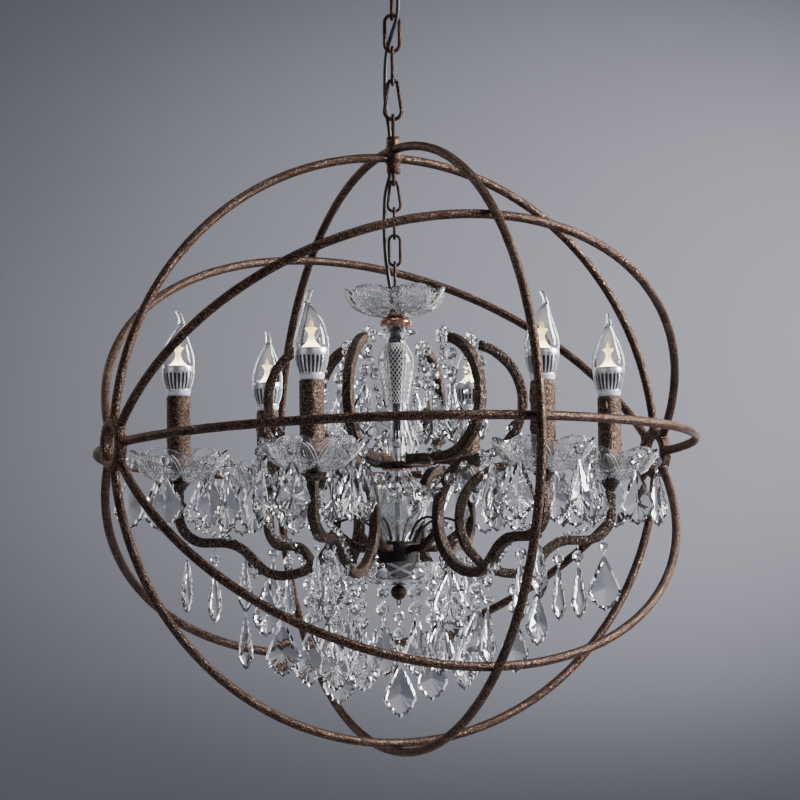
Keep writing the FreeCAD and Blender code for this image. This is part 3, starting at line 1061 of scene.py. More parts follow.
@dataclass
class TopHub:
    """The welded tube that both chains hold."""

    radius: float = 7.8
    bore: float = 6.7
    bottom: float = 314.0
    top: float = 351.0
    cap: float = 2.4
    wire: float = 4.2
    eye_radius: float = 5.2
    eye_top: float = 380.0
    eye_bottom: float = 297.0

    def barrel(self) -> None:
        """The tube with a lump of weld where the rings meet it."""
        r, high = self.radius, self.top - self.bottom
        barrel = Blank.turning("hub_barrel", lifted(
            self.bottom, (self.bore, 0), (r - 0.6, 0), (r, 0.7), (r, 7), (r + 0.6, 8),
            (r + 2.2, 12), (r + 2.6, 17), (r + 2.0, 23), (r + 0.4, 28), (r, 30), (r, high - 0.7),
            (r - 0.6, high), (self.bore, high), (self.bore, 0)), 32)
        barrel.divide_long(3.4, 2).rough(1.3, 4.5).finish(RUST, CAGE, "hub_tube")

    def eye(self, name: str, node: str, tip: float, root: float) -> None:
        """A cap with its wire eye.

        Args:
            name: Name of the piece.
            node: The CAD node that it stands for.
            tip: Height of the eye's tip.
            root: Height of the cap's outer face.
        """
        way, r = math.copysign(1, tip - root), self.radius
        base, rim = root - way * (self.cap - 0.1), root - way * 0.8
        cap = Blank.turning(f"{name}_cap", [(0, root), (r - 0.8, root), (r, rim), (r, base),
                                            (0, base)], 32)
        eye = wire_eye(f"{name}_wire", self.wire, self.eye_radius, tip, rim, FACING + 90)
        gather(name, cap, eye).rough(0.5, 3.0).finish(LINK_RUST, CAGE, node)

    def build(self) -> None:
        """Makes the tube and both eyes."""
        self.barrel()
        self.eye("hub_upper_eye", "hub_upper_loop", self.eye_top, self.top + self.cap)
        self.eye("hub_lower_eye", "hub_lower_loop", self.eye_bottom, self.bottom - self.cap)


@dataclass
class Cage:
    """Five rings of round bar, two side hubs and their welds."""

    ring_radius: float = 334.85
    cross_radius: float = 345.0
    bar: float = 10.0
    flattening: float = 0.982
    hub_radius: float = 28.5
    hub_bore: float = 18.5
    hub_length: float = 14.0
    top_hub_bore: float = 6.3
    leans: Sequence[tuple[str, float]] = (("vertical_ring", 90.0), ("tilted_ring_a", 45.0),
                                          ("tilted_ring_b", -47.0), ("level_ring", 2.5))

    def hoop(self, node: str, radius: float, turn: Point) -> None:
        """A ring of bar, open inside the hubs that it runs into.

        Args:
            node: The CAD node that it stands for.
            radius: Radius of its centre line.
            turn: Turns from level in degrees about X, Y and Z.
        """
        hoop = Blank.hoop(f"{node}_bar", radius, self.bar / 2, turn)
        hoop.resize((1, 1, self.flattening))
        reach = self.hub_radius - 7.0
        side = self.ring_radius - 20.0
        hoop.select(lambda p, v: (abs(p.x) > side and math.hypot(p.y, p.z) < reach)
                    or (p.z > 0 and math.hypot(p.x, p.y) < self.top_hub_bore))
        bpy.ops.mesh.delete(type="VERT")
        hoop.cap().rough(0.5, 7.0).finish(RUST, CAGE, node, smooth=60)

    def side_hub(self, side: int, name: str) -> None:
        """A short thick tube with worn edges.

        Args:
            side: 1 for the hub at +X and -1 for the other.
            name: Name of the CAD node that it stands for.
        """
        half, r, bore = self.hub_length / 2 - 0.5, self.hub_radius, self.hub_bore
        hub = Blank.turning(f"{name}_ring", [
            (bore, -half + 1.4), (bore + 1.6, -half), (r - 2.2, -half), (r - 0.4, -half + 1.8),
            (r, 0), (r - 0.4, half - 1.8), (r - 2.2, half), (bore + 1.6, half),
            (bore, half - 1.4), (bore - 0.2, 0), (bore, -half + 1.4)], 64)
        hub.divide_long(4.0, 3).rough(1.1, 6.0)
        hub.turned(placed(x=side * self.ring_radius, pitch=90)).finish(RUST, CAGE, name)

    def welds(self) -> None:
        """Ragged weld beads round each bar's foot on the hubs."""
        bead = Blank.hoop("weld_bead", self.bar / 2 - 0.1, 1.5, around=28, across=10)
        bead.rough(1.6, 2.4)
        start = math.asin(self.hub_radius / self.ring_radius)
        places = []
        for (_, lean), sign, side in itertools.product(self.leans, (-1, 1), (-1, 1)):
            tilt = math.radians(lean)
            outward = Vector((0, -math.cos(tilt), math.sin(tilt) * self.flattening)) * sign
            across = Vector((side, 0, 0))
            foot = (across * math.cos(start) + outward * math.sin(start)) * self.ring_radius
            along = outward * math.cos(start) - across * math.sin(start)
            places.append(about_middle(foot, along.to_track_quat("Z", "Y").to_matrix().to_4x4()))
        dress(stamp("hub_welds", bead.close(), places), WELD, CAGE, smooth=60)

    def build(self) -> None:
        """Makes rings, hubs and welds."""
        for node, lean in self.leans:
            self.hoop(node, self.ring_radius, (-lean, 0, 0))
        self.hoop("cross_ring", self.cross_radius, (0, 90, 0))
        self.side_hub(-1, "side_hub_left")
        self.side_hub(1, "side_hub_right")
        self.welds()


@dataclass
class Wiring:
    """The two supply cables beside the chains and the wires to the arms.

    A route is given as sideways, away and height. Each cable ends inside the object; bend, how far
    it bends above and below a joint, is not used.
    """

    diameter: float = 4.8
    bend: float = 9.0
    upper_route: Sequence[Point] = (
        (0, 0, 585.9), (0, 0, 548), (5.6, -5.6, 532), (7.6, -7.2, 514), (6.2, -6.8, 487),
        (-3.0, 2.6, 466), (-7.8, 6.6, 446), (-9.2, 6.6, 400), (-6.2, 5.8, 374),
        (-3.5, 0.0, 357), (-3.5, 0, 334))
    lower_route: Sequence[Point] = (
        (-3.5, 0, 331), (-3.5, 0, 311), (-7.8, 5.7, 298.5), (-11.0, 6.0, 280),
        (-11.2, 5.6, 225), (-6.6, 5.4, 190), (-2.8, 4.8, 169), (-2.8, 4.8, 153))

    def split(self, node: str, route: Sequence[Point], bodies: Sequence[str],
              pivots: Sequence[float]) -> None:
        """Cuts a cable between the chain's joints, so that each length spans one.

        Args:
            node: The CAD node that the cable stands for.
            route: The cable's route.
            bodies: The bodies from the top down.
            pivots: Heights of the joints between them.
        """
        name = f"{node}_run"
        line = [heading(FACING) * side + heading(FACING + 90) * away for side, away, _ in route]
        whole = tube(name, [spot(p.x, p.y, z) for p, (_, _, z) in zip(line, route)],
                     self.diameter / 2, 3, 8).close()
        cuts = [(a + b) / 2 for a, b in zip(pivots, pivots[1:])]
        for i, pivot in enumerate(pivots):
            part = Blank(stamp(f"{name}_{i + 1}", whole, [Matrix.Identity(4)], keep=True)).reopen()
            if i:
                bpy.ops.mesh.bisect(plane_co=spot(0, 0, cuts[i - 1]), plane_no=(0, 0, 1),
                                    use_fill=True, clear_outer=True)
                pick_all()
            if i < len(cuts):
                bpy.ops.mesh.bisect(plane_co=spot(0, 0, cuts[i]), plane_no=(0, 0, 1),
                                    use_fill=True, clear_inner=True)
            piece = part.close()
            coat(piece, CABLE, 50)
            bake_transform(piece)
            if not i:
                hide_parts(node)
            log.info("%s bends from %s to %s", piece.name, bodies[i], bodies[i + 1])
        bpy.data.objects.remove(whole)

    def arm_wires(self) -> None:
        """A looped wire from the drum to each arm."""
        wire = Blank.circle("arm_wire", 1.5, (20, 0, -102), 10, True, (0, 35, 0))
        wire.push((8, 0, 12)).swing((52.0, -108.0), -62, 10).push((8.5, 0, -2.5))
        dress(stamp("arm_wires_round", wire.close(), [placed(yaw=a) for a in ARM_ANGLES]), CABLE,
              CHANDELIER, "arm_wires")

    def build(self) -> None:
        """Makes both cables and the arm wires."""
        for node, route, chain, ends, pivots in (
                ("upper_cable", self.upper_route, "upper_chain", (CEILING, CAGE),
                 (525.6, 488.3, 451.0, 413.7, 373.4)),
                ("lower_cable", self.lower_route, "inner_chain", (CAGE, CHANDELIER),
                 (299.1, 268.6, 237.7, 206.8, 178.9))):
            links = [f"{chain}_{i}" for i in range(1, 5)]
            self.split(node, route, [ends[0], *links, ends[1]], pivots)
        self.arm_wires()


# Corners in each circle of a piece with a scalloped rim, and the turns in degrees of the short
# strokes that are cut round each valley of such a rim.
RIM_SIDES = 96
STROKES = (-23, -14, 14, 23, 32)


def scallop(blank: Blank, lobes: int, *waves: Point) -> None:
    """Waves a rim: corners between the lobes are drawn in, and the lobes' tips raised.

    Args:
        blank: The turning to shape, with RIM_SIDES corners in each circle.
        lobes: Lobes round the rim.
        waves: (radius, depth, lift) each: corners further out than the radius are waved, the
            valleys lose the depth's share of their radius and the tips rise by the lift.
    """
    phases = RIM_SIDES // lobes
    step = 2 * math.pi / RIM_SIDES
    for (from_radius, depth, lift), phase in itertools.product(waves, range(phases)):
        wave = abs(math.sin(math.pi * phase / phases)) ** 0.75

        def in_phase(p: Vector, _: object, phase: int = phase,
                     reach: float = from_radius) -> bool:
            """Whether a corner stands in this phase of its lobe."""
            turn = round(math.atan2(p.y, p.x) / step)
            return turn % phases == phase and math.hypot(p.x, p.y) > reach

        blank.select(in_phase)
        share = 1 - depth * (1 - wave)
        blank.resize((share, share, 1)).shift((0, 0, lift * wave))


def evenly(profile: Sequence[Point], step: float) -> list[Point]:
    """Levels of a falling profile, spaced evenly in height.

    Args:
        profile: (radius, height) from the top down.
        step: Height between two levels.

    Returns:
        The levels from the top down.
    """
    top, low = profile[0][1], profile[-1][1]
    count = round((top - low) / step)
    levels = []
    for k in range(count + 1):
        z = top + (low - top) * k / count
        (r0, z0), (r1, z1) = next(pair for pair in zip(profile, profile[1:])
                                  if pair[0][1] >= z - 1e-6 >= pair[1][1] - 1e-5)
        levels.append((r0 + (r1 - r0) * ((z0 - z) / (z0 - z1)), z))
    return levels


def cut_lines(name: str, wall: Sequence[Point], lobes: int, from_radius: float, span: float,
              radius: float, offsets: Sequence[float] = (0.0,)) -> Piece:
    """Crossing cuts up the outside of a turning, two for each lobe and offset.

    Args:
        name: Name of the joined mesh.
        wall: (radius, height) of the outside from one end to the other.
        lobes: Lobes round the rim.
        from_radius: Least radius that the cuts reach.
        span: How far round the cuts run, in lobes.
        radius: Half the width of a cut.
        offsets: Turns in degrees of the cuts that lie side by side.

    Returns:
        The joined mesh.
    """
    rise = [(r, z) for r, z in wall if r >= from_radius]
    lines = []
    for way, offset in itertools.product((-1, 1), offsets):
        points = []
        for k, (r, z) in enumerate(rise):
            share = 2.0 * k / (len(rise) - 1) - 1.0
            out = heading(way * 180.0 / lobes * span * share + offset) * (r * 0.985)
            points.append(spot(out.x, out.y, z))
        lines.append(tube("cut_line", points, radius, 1, 2))
    pair = gather("cut_pair", *lines).close()
    return stamp(name, pair, [placed(yaw=360.0 / lobes * k) for k in range(lobes)])


@dataclass
class Column:
    """Glass bowls and vases, copper trims, drum and finial on the centre rod.

    Walls and inner walls are (radius, height) levels, and each turning runs along the one
    and back along the other.
    """

    body: str = CHANDELIER
    bore: float = 3.4
    bowl_wall: Sequence[Point] = (
        (13, 147.2), (16, 148.2), (24, 150.0), (30, 151.6), (31, 151.3), (36, 153.2),
        (41, 155.6), (42, 155.5), (46, 158.0), (50, 161), (53.2, 165.4), (55, 169.4),
        (57.4, 174.4))
    bowl_inner: Sequence[Point] = (
        (54.6, 174.6), (52.2, 170.2), (47.6, 163.6), (39.4, 158.8), (28.6, 155), (14, 151.6),
        (11, 150.4))
    upper_wall: Sequence[Point] = (
        (13.4, 137.6), (24, 131.6), (24, 130.4), (14, 126.6), (10.6, 122.6), (10.9, 119),
        (14.8, 113.6), (18.0, 108), (19.8, 103), (20.2, 98), (19.6, 90), (18.2, 80),
        (16.6, 71), (15.0, 62), (13.9, 54), (13.3, 50), (14.3, 47), (14.3, 43), (13.1, 40),
        (14.8, 33), (18.4, 20), (24.9, 5.0), (25.3, 3), (23.6, 0), (17, -8), (15, -13.8))
    upper_inner: Sequence[Point] = (
        (9, -13.8), (9.8, 0), (8.0, 20), (6.2, 41), (5.8, 50), (7.3, 72), (8.9, 98),
        (9.5, 112), (9.2, 122), (9.2, 137.6))
    upper_shade_core: Sequence[Point] = (
        (0, 137), (8.3, 137), (8.3, 122), (8.6, 112), (7.7, 98), (5.8, 72), (4.6, 50),
        (4.0, 30), (3.8, 6), (0, 6))
    lower_wall: Sequence[Point] = (
        (14, -24.2), (14.6, -27), (18.2, -31), (26.8, -40), (31.6, -48), (33.7, -60),
        (32.4, -71), (27.6, -83), (20.2, -93), (15.6, -99), (13.4, -103.8))
    lower_inner: Sequence[Point] = (
        (9, -103.8), (11, -98), (16.4, -91), (24.2, -81), (29.0, -70), (30.2, -60),
        (28.4, -49), (23.8, -42), (15, -33.6), (10, -29), (9, -24.2))
    dish_wall: Sequence[Point] = (
        (20, -152.6), (24, -152), (32, -149.4), (38, -145.6), (43, -138), (46, -129.2))
    dish_inner: Sequence[Point] = (
        (44.2, -129.2), (41.2, -137.4), (36.6, -143.6), (31, -147), (23, -149.8))
    disc_feet: Sequence[float] = (-17.2, -23.9)

    def cuts(self, finish: Finish, *lines: object) -> None:
        """Dresses a set of cut lines."""
        dress(cut_lines(*lines), finish, self.body, smooth=60)

    def bowl(self) -> None:
        """The scalloped bowl under the chain's end."""
        wall, bore = self.bowl_wall, self.bore
        bowl = Blank.turning("top_bowl_cut", [(bore, 147.2), *wall, *self.bowl_inner,
                                              (bore, 150.4), (bore, 147.2)], RIM_SIDES)
        scallop(bowl, 6, (35, 0.03, 0.0), (47, 0.03, 1.8), (53.6, 0.02, 5.0))
        bowl.finish(PRESSED_GLASS, self.body, "top_bowl", smooth=40)
        self.cuts(FROST, "top_bowl_lines", wall, 6, 24.0, 0.52, 0.4, (-2.0, 2.0))
        self.cuts(GREY_FROST, "top_bowl_strokes", wall[3:], 6, 24.0, 0.12, 0.28, STROKES)

    def vase(self, node: str, wall: Sequence[Point], inner: Sequence[Point], low: float,
             high: float, outer: float) -> None:
        """A vase with every other tall face of its bell hollowed.

        Args:
            node: The CAD node that it stands for.
            wall: Levels of the outside.
            inner: Levels of the inside, from the other end.
            low: Height that the hollows start from.
            high: Height that they end at.
            outer: Radius that they lie beyond.
        """
        vase = Blank.turning(f"{node}_cut", [*wall, *inner, wall[0]]).outward()
        vase.select(lambda p, f: low < p.z < high and math.hypot(p.x, p.y) > outer
                    and int((math.degrees(math.atan2(p.y, p.x)) % 360) / 15) % 2 == 0,
                    Part.FACE)
        vase.inset(0.7, -0.8).finish(CUT_GLASS, self.body, node)

    def vases(self) -> None:
        """The two vases with their lattices, and a near-black core in the upper one's bore that
        paints its shade.
        """
        self.vase("upper_vase", self.upper_wall, self.upper_inner, 6, 40, 17)
        waist = evenly(self.upper_wall[5:16], 3.0)
        self.cuts(FROST, "upper_vase_lines", waist, 26, 0, 11.0, 0.38)
        # The core is painted shade: a near-black solid that darkens the middle of the vase.
        Blank.turning("upper_vase_core", self.upper_shade_core, 32).finish(VASE_BORE_SHADE, self.body)
        self.vase("lower_vase", self.lower_wall, self.lower_inner, -54, -28, 15)
        belly = evenly(self.lower_wall[5:10], 3.2)[:-1]
        self.cuts(GREY_FROST, "lower_vase_lines", belly, 28, 0, 6.0, 0.3)

    def trims(self) -> None:
        """Copper collar and discs, the plate that holds the upper scrolls, and the rod."""
        bore = self.bore
        Blank.turning("copper_collar_round", [
            (bore, 137.8), (13, 137.8), (15, 138.4), (17.4, 140), (18.2, 142.4), (17.4, 144.9),
            (15, 146.5), (13, 147), (bore, 147), (bore, 137.8)], 64).finish(
                COPPER, self.body, "copper_collar")
        discs = [Blank.turning("copper_disc", lifted(
            low, (bore, 0), (14.6, 0), (16.4, 0.3), (17.5, 1.6), (16.4, 2.9), (14.6, 3.2),
            (bore, 3.2), (bore, 0)), 64) for low in self.disc_feet]
        gather("copper_discs_round", *discs).finish(COPPER, self.body, "copper_discs")
        plate = Blank.turning("scroll_plate_round", [
            (bore, -20.4), (26.2, -20.4), (27, -19.8), (27, -18), (26.2, -17.4), (bore, -17.4),
            (bore, -20.4)]).rough(0.3, 4.0)
        plate.finish(ARM_RUST, self.body, "scroll_plate", smooth=40)
        Blank.turning("centre_rod_round", [
            (0, -152.8), (2.6, -152.8), (3, -152.4), (3, 149.6), (2.6, 150), (0, 150)],
            24).finish(ZINC, self.body, "centre_rod")

    def loop(self) -> None:
        """The stem and eye that the chandelier hangs by."""
        stem = Blank.turning("column_stem", [(0, 150.6), (9.2, 150.6), (9.8, 151.2), (9.8, 157),
                                             (8.8, 159), (6.0, 160.4), (0, 161)], 32)
        both = gather("column_loop_round", stem, wire_eye("column_eye", 3.6, 4.6, 184.5, 158.0))
        both.rough(0.6, 3.0).finish(LINK_RUST, self.body, "column_loop")

    def foot(self) -> None:
        """The black drum, the dish below it and the finial."""
        wall, bore = self.dish_wall, self.bore
        drum = Blank.turning("arm_drum", [
            (bore, -148.6), (19.4, -148.6), (22.6, -146.6), (24, -144), (24, -109),
            (22.6, -106), (19.4, -104), (bore, -104), (bore, -148.6)], 56).rough(0.35, 5.0)
        drum.finish(DRUM_RUST, self.body, "arm_hub", smooth=40)
        dish = Blank.turning("bottom_dish_cut", [
            (bore, -152.6), *wall, *self.dish_inner, (bore, -150.2), (bore, -152.6)], RIM_SIDES)
        scallop(dish, 8, (24, 0.03, 0.0), (38, 0.03, 2.0))
        dish.finish(CUT_GLASS, self.body, "bottom_dish", smooth=40)
        self.cuts(FROST, "bottom_dish_lines", wall, 8, 30.0, 1.7, 0.45, (-2.5, 2.5))
        ball = Blank.turning("finial_ball", [
            (0, -169.4), (2.2, -169.2), (4.6, -168), (7.6, -165), (9, -161), (8.6, -158),
            (6.8, -155), (4.4, -153.4), (3.2, -152.9), (0, -152.9)], 32)
        eye = wire_eye("finial_eye", 1.4, 2.0, -175.3, -168.8, yaw=0.0)
        gather("finial_round", ball, eye).finish(LINK_RUST, self.body, "finial")

    def build(self) -> None:
        """Makes the column from the eye down."""
        self.loop()
        self.bowl()
        self.vases()
        self.trims()
        self.foot()


@dataclass
class Arms:
    """Six lower scroll arms and six upper scrolls of beaten square bar."""

    crest: float = -104.0
    post_top: float = -46.0
    upper_start: float = 20.4
    spoke_bar: float = 8.0

    def lower(self) -> Piece:
        """One arm along +X: scroll, crest and post, with the spoke to the drum.

        Returns:
            The closed mesh.
        """
        (x, z), r, crest = SCROLL, SCROLL_RADIUS, self.crest
        tip = math.radians(FREE_ANGLE)
        arm = Blank.square_bar("arm_bar", SCROLL_BAR, (x + r * math.cos(tip), 0,
                                                       z + r * math.sin(tip)), 90 + FREE_ANGLE)
        arm.swing(SCROLL, 270 - FREE_ANGLE, 30).swing((x, z - r + 35.0), 45, 6)
        arm.push((13.97, 0, 15.03)).swing((198.0, crest - 40.0), -45, 6).push((17.0, 0, 0))
        arm.swing((CANDLE_RADIUS - 30.0, crest + 30.0), 90, 10)
        arm.push((0, 0, self.post_top - crest - 30.0))
        spoke = Blank.square_bar("arm_spoke", self.spoke_bar, (24.3, 0, -112.0), 0)
        spoke.push((16.0, 0, 0)).swing((40.3, -100.0), 36, 5).push((24.0, 0, 17.3))
        return gather("arm_bar", arm, spoke).beaten_bar()

    def upper(self) -> Piece:
        """One upper scroll along +X.

        Returns:
            The closed mesh.
        """
        (x, z), start = UPPER_SCROLL, self.upper_start
        scroll = Blank.square_bar("upper_scroll", SCROLL_BAR, (start, 0, z - UPPER_RADIUS), 0)
        scroll.push((x - start, 0, 0)).swing(UPPER_SCROLL, 90 + FREE_ANGLE, 26)
        return scroll.beaten_bar()

    def build(self) -> None:
        """Makes the arms and scrolls."""
        arm = self.lower()
        places = [placed(yaw=a) for a in ARM_ANGLES]
        for i, place in enumerate(places, 1):
            copy = stamp(f"arm_scroll_{i}", arm, [place], keep=i < len(places))
            dress(copy, ARM_RUST, CHANDELIER, f"scroll_arm_{i}", smooth=45)
        dress(stamp("upper_scroll_bars", self.upper(), places), ARM_RUST, CHANDELIER,
              "upper_scrolls", smooth=45)


@dataclass
class Candles:
    """Cups, drip dishes, sleeves, holders and flame lamps at the ends of the arms.

    A dish's levels are (radius, height above its floor). flame_rise is the flame's foot
    above the sleeve's top, its levels are (radius, height above the foot, lean), and leans
    are the compass angles that the lamps' tips bend to.
    """

    body: str = CHANDELIER
    cup_foot: float = -46.0
    floor: float = -38.0
    sleeve_radius: float = 13.5
    sleeve_bore: float = 12.4
    sleeve_top: float = 58.6
    drips: int = 9
    fins: int = 24
    dish_wall: Sequence[Point] = (
        (12, 0.4), (24, 3.4), (29, 5.3), (30, 4.9), (35, 7.2), (38.6, 9.6), (39.8, 9.6),
        (44.4, 14), (48, 19.4), (51.6, 24), (53.6, 27), (55, 28.8))
    dish_inner: Sequence[Point] = (
        (52.2, 29.1), (50.8, 26.8), (48.6, 23.4), (44.8, 18.6), (38.8, 13.2), (32.6, 9.6),
        (23.4, 6.4), (11, 2.9), (6.4, 2.6))
    flame_rise: float = 33.5
    flame_inner: Sequence[Point] = (
        (0, 50.6, -4.1), (1.3, 49.8, -4.15), (2.5, 47.4, -4.2), (4.4, 43.2, -3.4),
        (6.4, 39.2, -2.3), (8.7, 34.7, -1.2), (11.1, 29.7, -0.4), (13.4, 24.2, 0),
        (15.3, 18.2, 0), (16.6, 13.2, 0), (17.4, 8.2, 0), (17.6, 3.2, 0), (17.3, 0, 0))
    flame_outer: Sequence[Point] = (
        (18.4, 0, 0), (18.7, 3, 0), (18.5, 8, 0), (17.7, 13, 0), (16.4, 18, 0),
        (14.5, 24, 0), (12.2, 29.5, -0.4), (9.8, 34.5, -1.2), (7.4, 39, -2.3),
        (5.6, 43, -3.4), (4.4, 47, -4.2), (3.6, 51, -4.1), (3.2, 55, -3.1),
        (3.0, 58.2, -1.7), (2.7, 60.8, -0.2), (1.9, 62.3, 0.9), (0, 62.9, 1.5))
    leans: Sequence[float] = (155.0, -25.0, 150.0, 75.0, 60.0, 95.0)

    def __post_init__(self) -> None:
        """Finds the six places at the ends of the arms."""
        outs = [heading(angle) * CANDLE_RADIUS for angle in ARM_ANGLES]
        self.places = [placed(out.x, out.y, 0, yaw=a) for out, a in zip(outs, ARM_ANGLES)]

    def cups(self) -> None:
        """Cone cups with a stem up through the dish."""
        cup = Blank.turning("candle_cup", lifted(
            self.cup_foot, (0, 0), (6.4, 0), (7.6, 1.5), (8.8, 4.4), (11.6, 6.8), (12, 7.6),
            (5, 7.7), (5, 45), (0, 45)), 32).rough(0.4, 4.0)
        dress(stamp("candle_cups_round", cup.close(), self.places), ARM_RUST, self.body,
              "candle_cups", smooth=45)

    def dishes(self) -> None:
        """Scalloped glass drip dishes with crossing cuts."""
        wall = lifted(self.floor, *self.dish_wall)
        inner = lifted(self.floor, *self.dish_inner)
        foot = (6.4, self.floor)
        dish = Blank.turning("drip_dish", [foot, *wall, *inner, foot], RIM_SIDES)
        scallop(dish, 6, (34, 0.03, 0.0), (46, 0.025, 2.4), (50.5, 0.02, 6.0))
        places = [place @ placed(yaw=30.0) for place in self.places]
        dress(stamp("drip_dishes", dish.close(), places), PRESSED_GLASS, self.body, "bobeches",
              smooth=40)
        lines = cut_lines("dish_lines", wall, 6, 24.0, 0.52, 0.42, (-2.2, 2.2))
        dress(stamp("drip_dish_lines", lines, places), FROST, self.body, smooth=60)
        strokes = cut_lines("dish_strokes", wall[3:], 6, 24.0, 0.12, 0.28, STROKES)
        dress(stamp("drip_dish_strokes", strokes, places), GREY_FROST, self.body, smooth=60)

    def wax_run(self, draw: random.Random) -> Blank:
        """A run of wax, thicker towards its end.

        Args:
            draw: Gives its length, turn and height.

        Returns:
            The blank, still in edit mode.
        """
        length = draw.uniform(9, 26)
        out = heading(draw.uniform(0, 360)) * (self.sleeve_radius - 1.2)
        top = draw.choice((self.sleeve_top - 2.5, draw.uniform(0, 50)))
        middle = (out.x, out.y, top - length * 0.6)
        run = Blank.ball("wax_run", 1.9, middle, 2).resize((1, 1, length / 3.8), middle)
        run.select(lambda p, v: p.z < middle[2])
        return run.resize((1.35, 1.35, 0.8), middle)

    def sleeves(self) -> None:
        """Crusted sleeves with wax runs, each a little different."""
        draw = random.Random(11)
        floor, top = self.floor + 3.0, self.sleeve_top
        r, bore = self.sleeve_radius, self.sleeve_bore
        wall = [(r - 0.35, floor + 15 + 3.2 * k) for k in range(24)]
        profile = [(6.2, floor), (8.4, floor + 4), (11.0, floor + 9), (12.8, floor + 13), *wall,
                   (r - 0.3, top - 1.2), (r - 0.9, top), (bore, top), (bore, top - 12),
                   (bore, -17), (6.2, floor)]
        made = []
        for i, place in enumerate(self.places):
            sleeve = Blank.turning("sleeve", profile, 40)
            runs = [self.wax_run(draw) for _ in range(self.drips)]
            candle = gather("sleeve", sleeve, *runs).rough(0.9, 3.0)
            made.append(candle.turned(placed(yaw=53.0 * i), place))
        gather("candle_sleeves_crusted", *made).finish(SLEEVE, self.body, "candle_sleeves")

    def holders(self) -> None:
        """The lamp holders inside the sleeves."""
        top = self.sleeve_top - 1.2
        holder = Blank.turning("holder", [
            (8.6, -6), (11.2, -6), (11.5, -5.6), (11.5, top - 1), (11.0, top), (9.0, top),
            (8.6, top - 0.4), (8.6, -6)], 32)
        dress(stamp("lamp_holders_round", holder.close(), self.places), HOLDER, self.body,
              "lamp_holders")

    def lamp_turning(self, name: str, sides: int, rise: float, *profile: Point) -> Blank:
        """A turned part of the lamp, its heights counted from above the sleeve's top."""
        return Blank.turning(name, lifted(self.sleeve_top + rise, *profile), sides)

    def lamp_sink(self) -> Piece:
        """The bright band, the fins below it and the lip that holds the flame.

        Returns:
            The closed mesh.
        """
        band = self.lamp_turning("lamp_band", 48, 25.4, (12, 0), (16.6, 0), (17.8, 0.4),
                                 (18.1, 1.1), (18.2, 6.8), (17.8, 8), (12, 8), (12, 0))
        ring = self.lamp_turning("lamp_ring", 48, 6.2, (10, 0), (13.0, 0), (13.7, 0.6),
                                 (13.7, 1.4), (13.0, 2), (10, 2), (10, 0))
        fin = Blank.outline("lamp_fin", lifted(
            self.sleeve_top, (10.4, 8.0), (13.6, 8.0), (14.9, 11), (16.4, 15), (17.6, 20.5),
            (18.1, 25.8), (10.4, 25.8))).thicken(1.8)
        turns = [placed(yaw=360.0 / self.fins * k) for k in range(self.fins)]
        fins = Blank(stamp("lamp_fins", fin.close(), turns))
        return gather("lamp_sink", band, ring, fins).close()

    def lamp_flame(self) -> Piece:
        """The clear flame: a thin shell, solid at the tip, which bends over.

        Returns:
            The closed mesh.
        """
        levels = (*self.flame_inner, *self.flame_outer)
        flame = self.lamp_turning("lamp_flame", 40, self.flame_rise,
                                  *((r, z) for r, z, _ in levels))
        foot = self.sleeve_top + self.flame_rise
        for height, lean in {z: lean for _, z, lean in levels if lean}.items():
            flame.select(lambda p, v, z=foot + height: abs(p.z - z) < 0.1)
            flame.shift((lean, 0, 0))
        return flame.close()

    def lamps(self) -> None:
        """Six flame lamps, each on its own body: collar, sink, flame, body and lit core."""
        collar = self.lamp_turning("lamp_collar", 40, 0, (0, -22), (6.2, -22), (7.2, -20.5),
                                   (7.2, 0.6), (11.6, 0.6), (12.4, 1.1), (13.2, 3.4),
                                   (14.0, 5.6), (13.4, 6.1), (0, 6.1))
        body = self.lamp_turning("lamp_body", 32, 6.1, (0, 0), (10.8, 0), (12.2, 5.9),
                                 (13.6, 19.5), (0, 19.5))
        core = self.lamp_turning("lamp_core", 16, self.flame_rise, (0, 0), (11.6, 0),
                                 (10.4, 1.4), (7.2, 4.2), (4.6, 7.4), (3.2, 11.0), (2.8, 14.0),
                                 (3.6, 17.0), (6.4, 20.4), (6.0, 21.4), (3.2, 21.2),
                                 (2.2, 24.5), (1.4, 28), (0, 30))
        parts = ((collar.close(), "lamp_collar", COLLAR, 50),
                 (self.lamp_sink(), "lamp_sink", FIN_METAL, 30),
                 (self.lamp_flame(), "lamp_flame", FLAME_GLASS, 60),
                 (body.close(), "lamp_body", LAMP_BODY, 50), (core.close(), "lamp_core", GLOW, 20))
        for i, (place, lean, angle) in enumerate(zip(self.places, self.leans, ARM_ANGLES), 1):
            place = place @ placed(yaw=lean - angle)
            for master, name, finish, smooth in parts:
                nodes = (f"bulb_{i}",) if name == "lamp_flame" else ()
                copy = stamp(f"{name}_{i}", master, [place], keep=i < len(self.places))
                dress(copy, finish, f"bulb_{i}", *nodes, smooth=smooth)

    def build(self) -> None:
        """Makes everything over the arms' ends."""
        self.cups()
        self.dishes()
        self.sleeves()
        self.holders()
        self.lamps()


class Drop(Enum):
    """The kinds of crystal, with their heights."""

    BEAD = 14.0
    SMALL = 8.0
    PENDALOGUE = 62.0
    ICICLE = 58.0
    CLUSTER = 18.0


Places = dict[Drop, list[Matrix]]


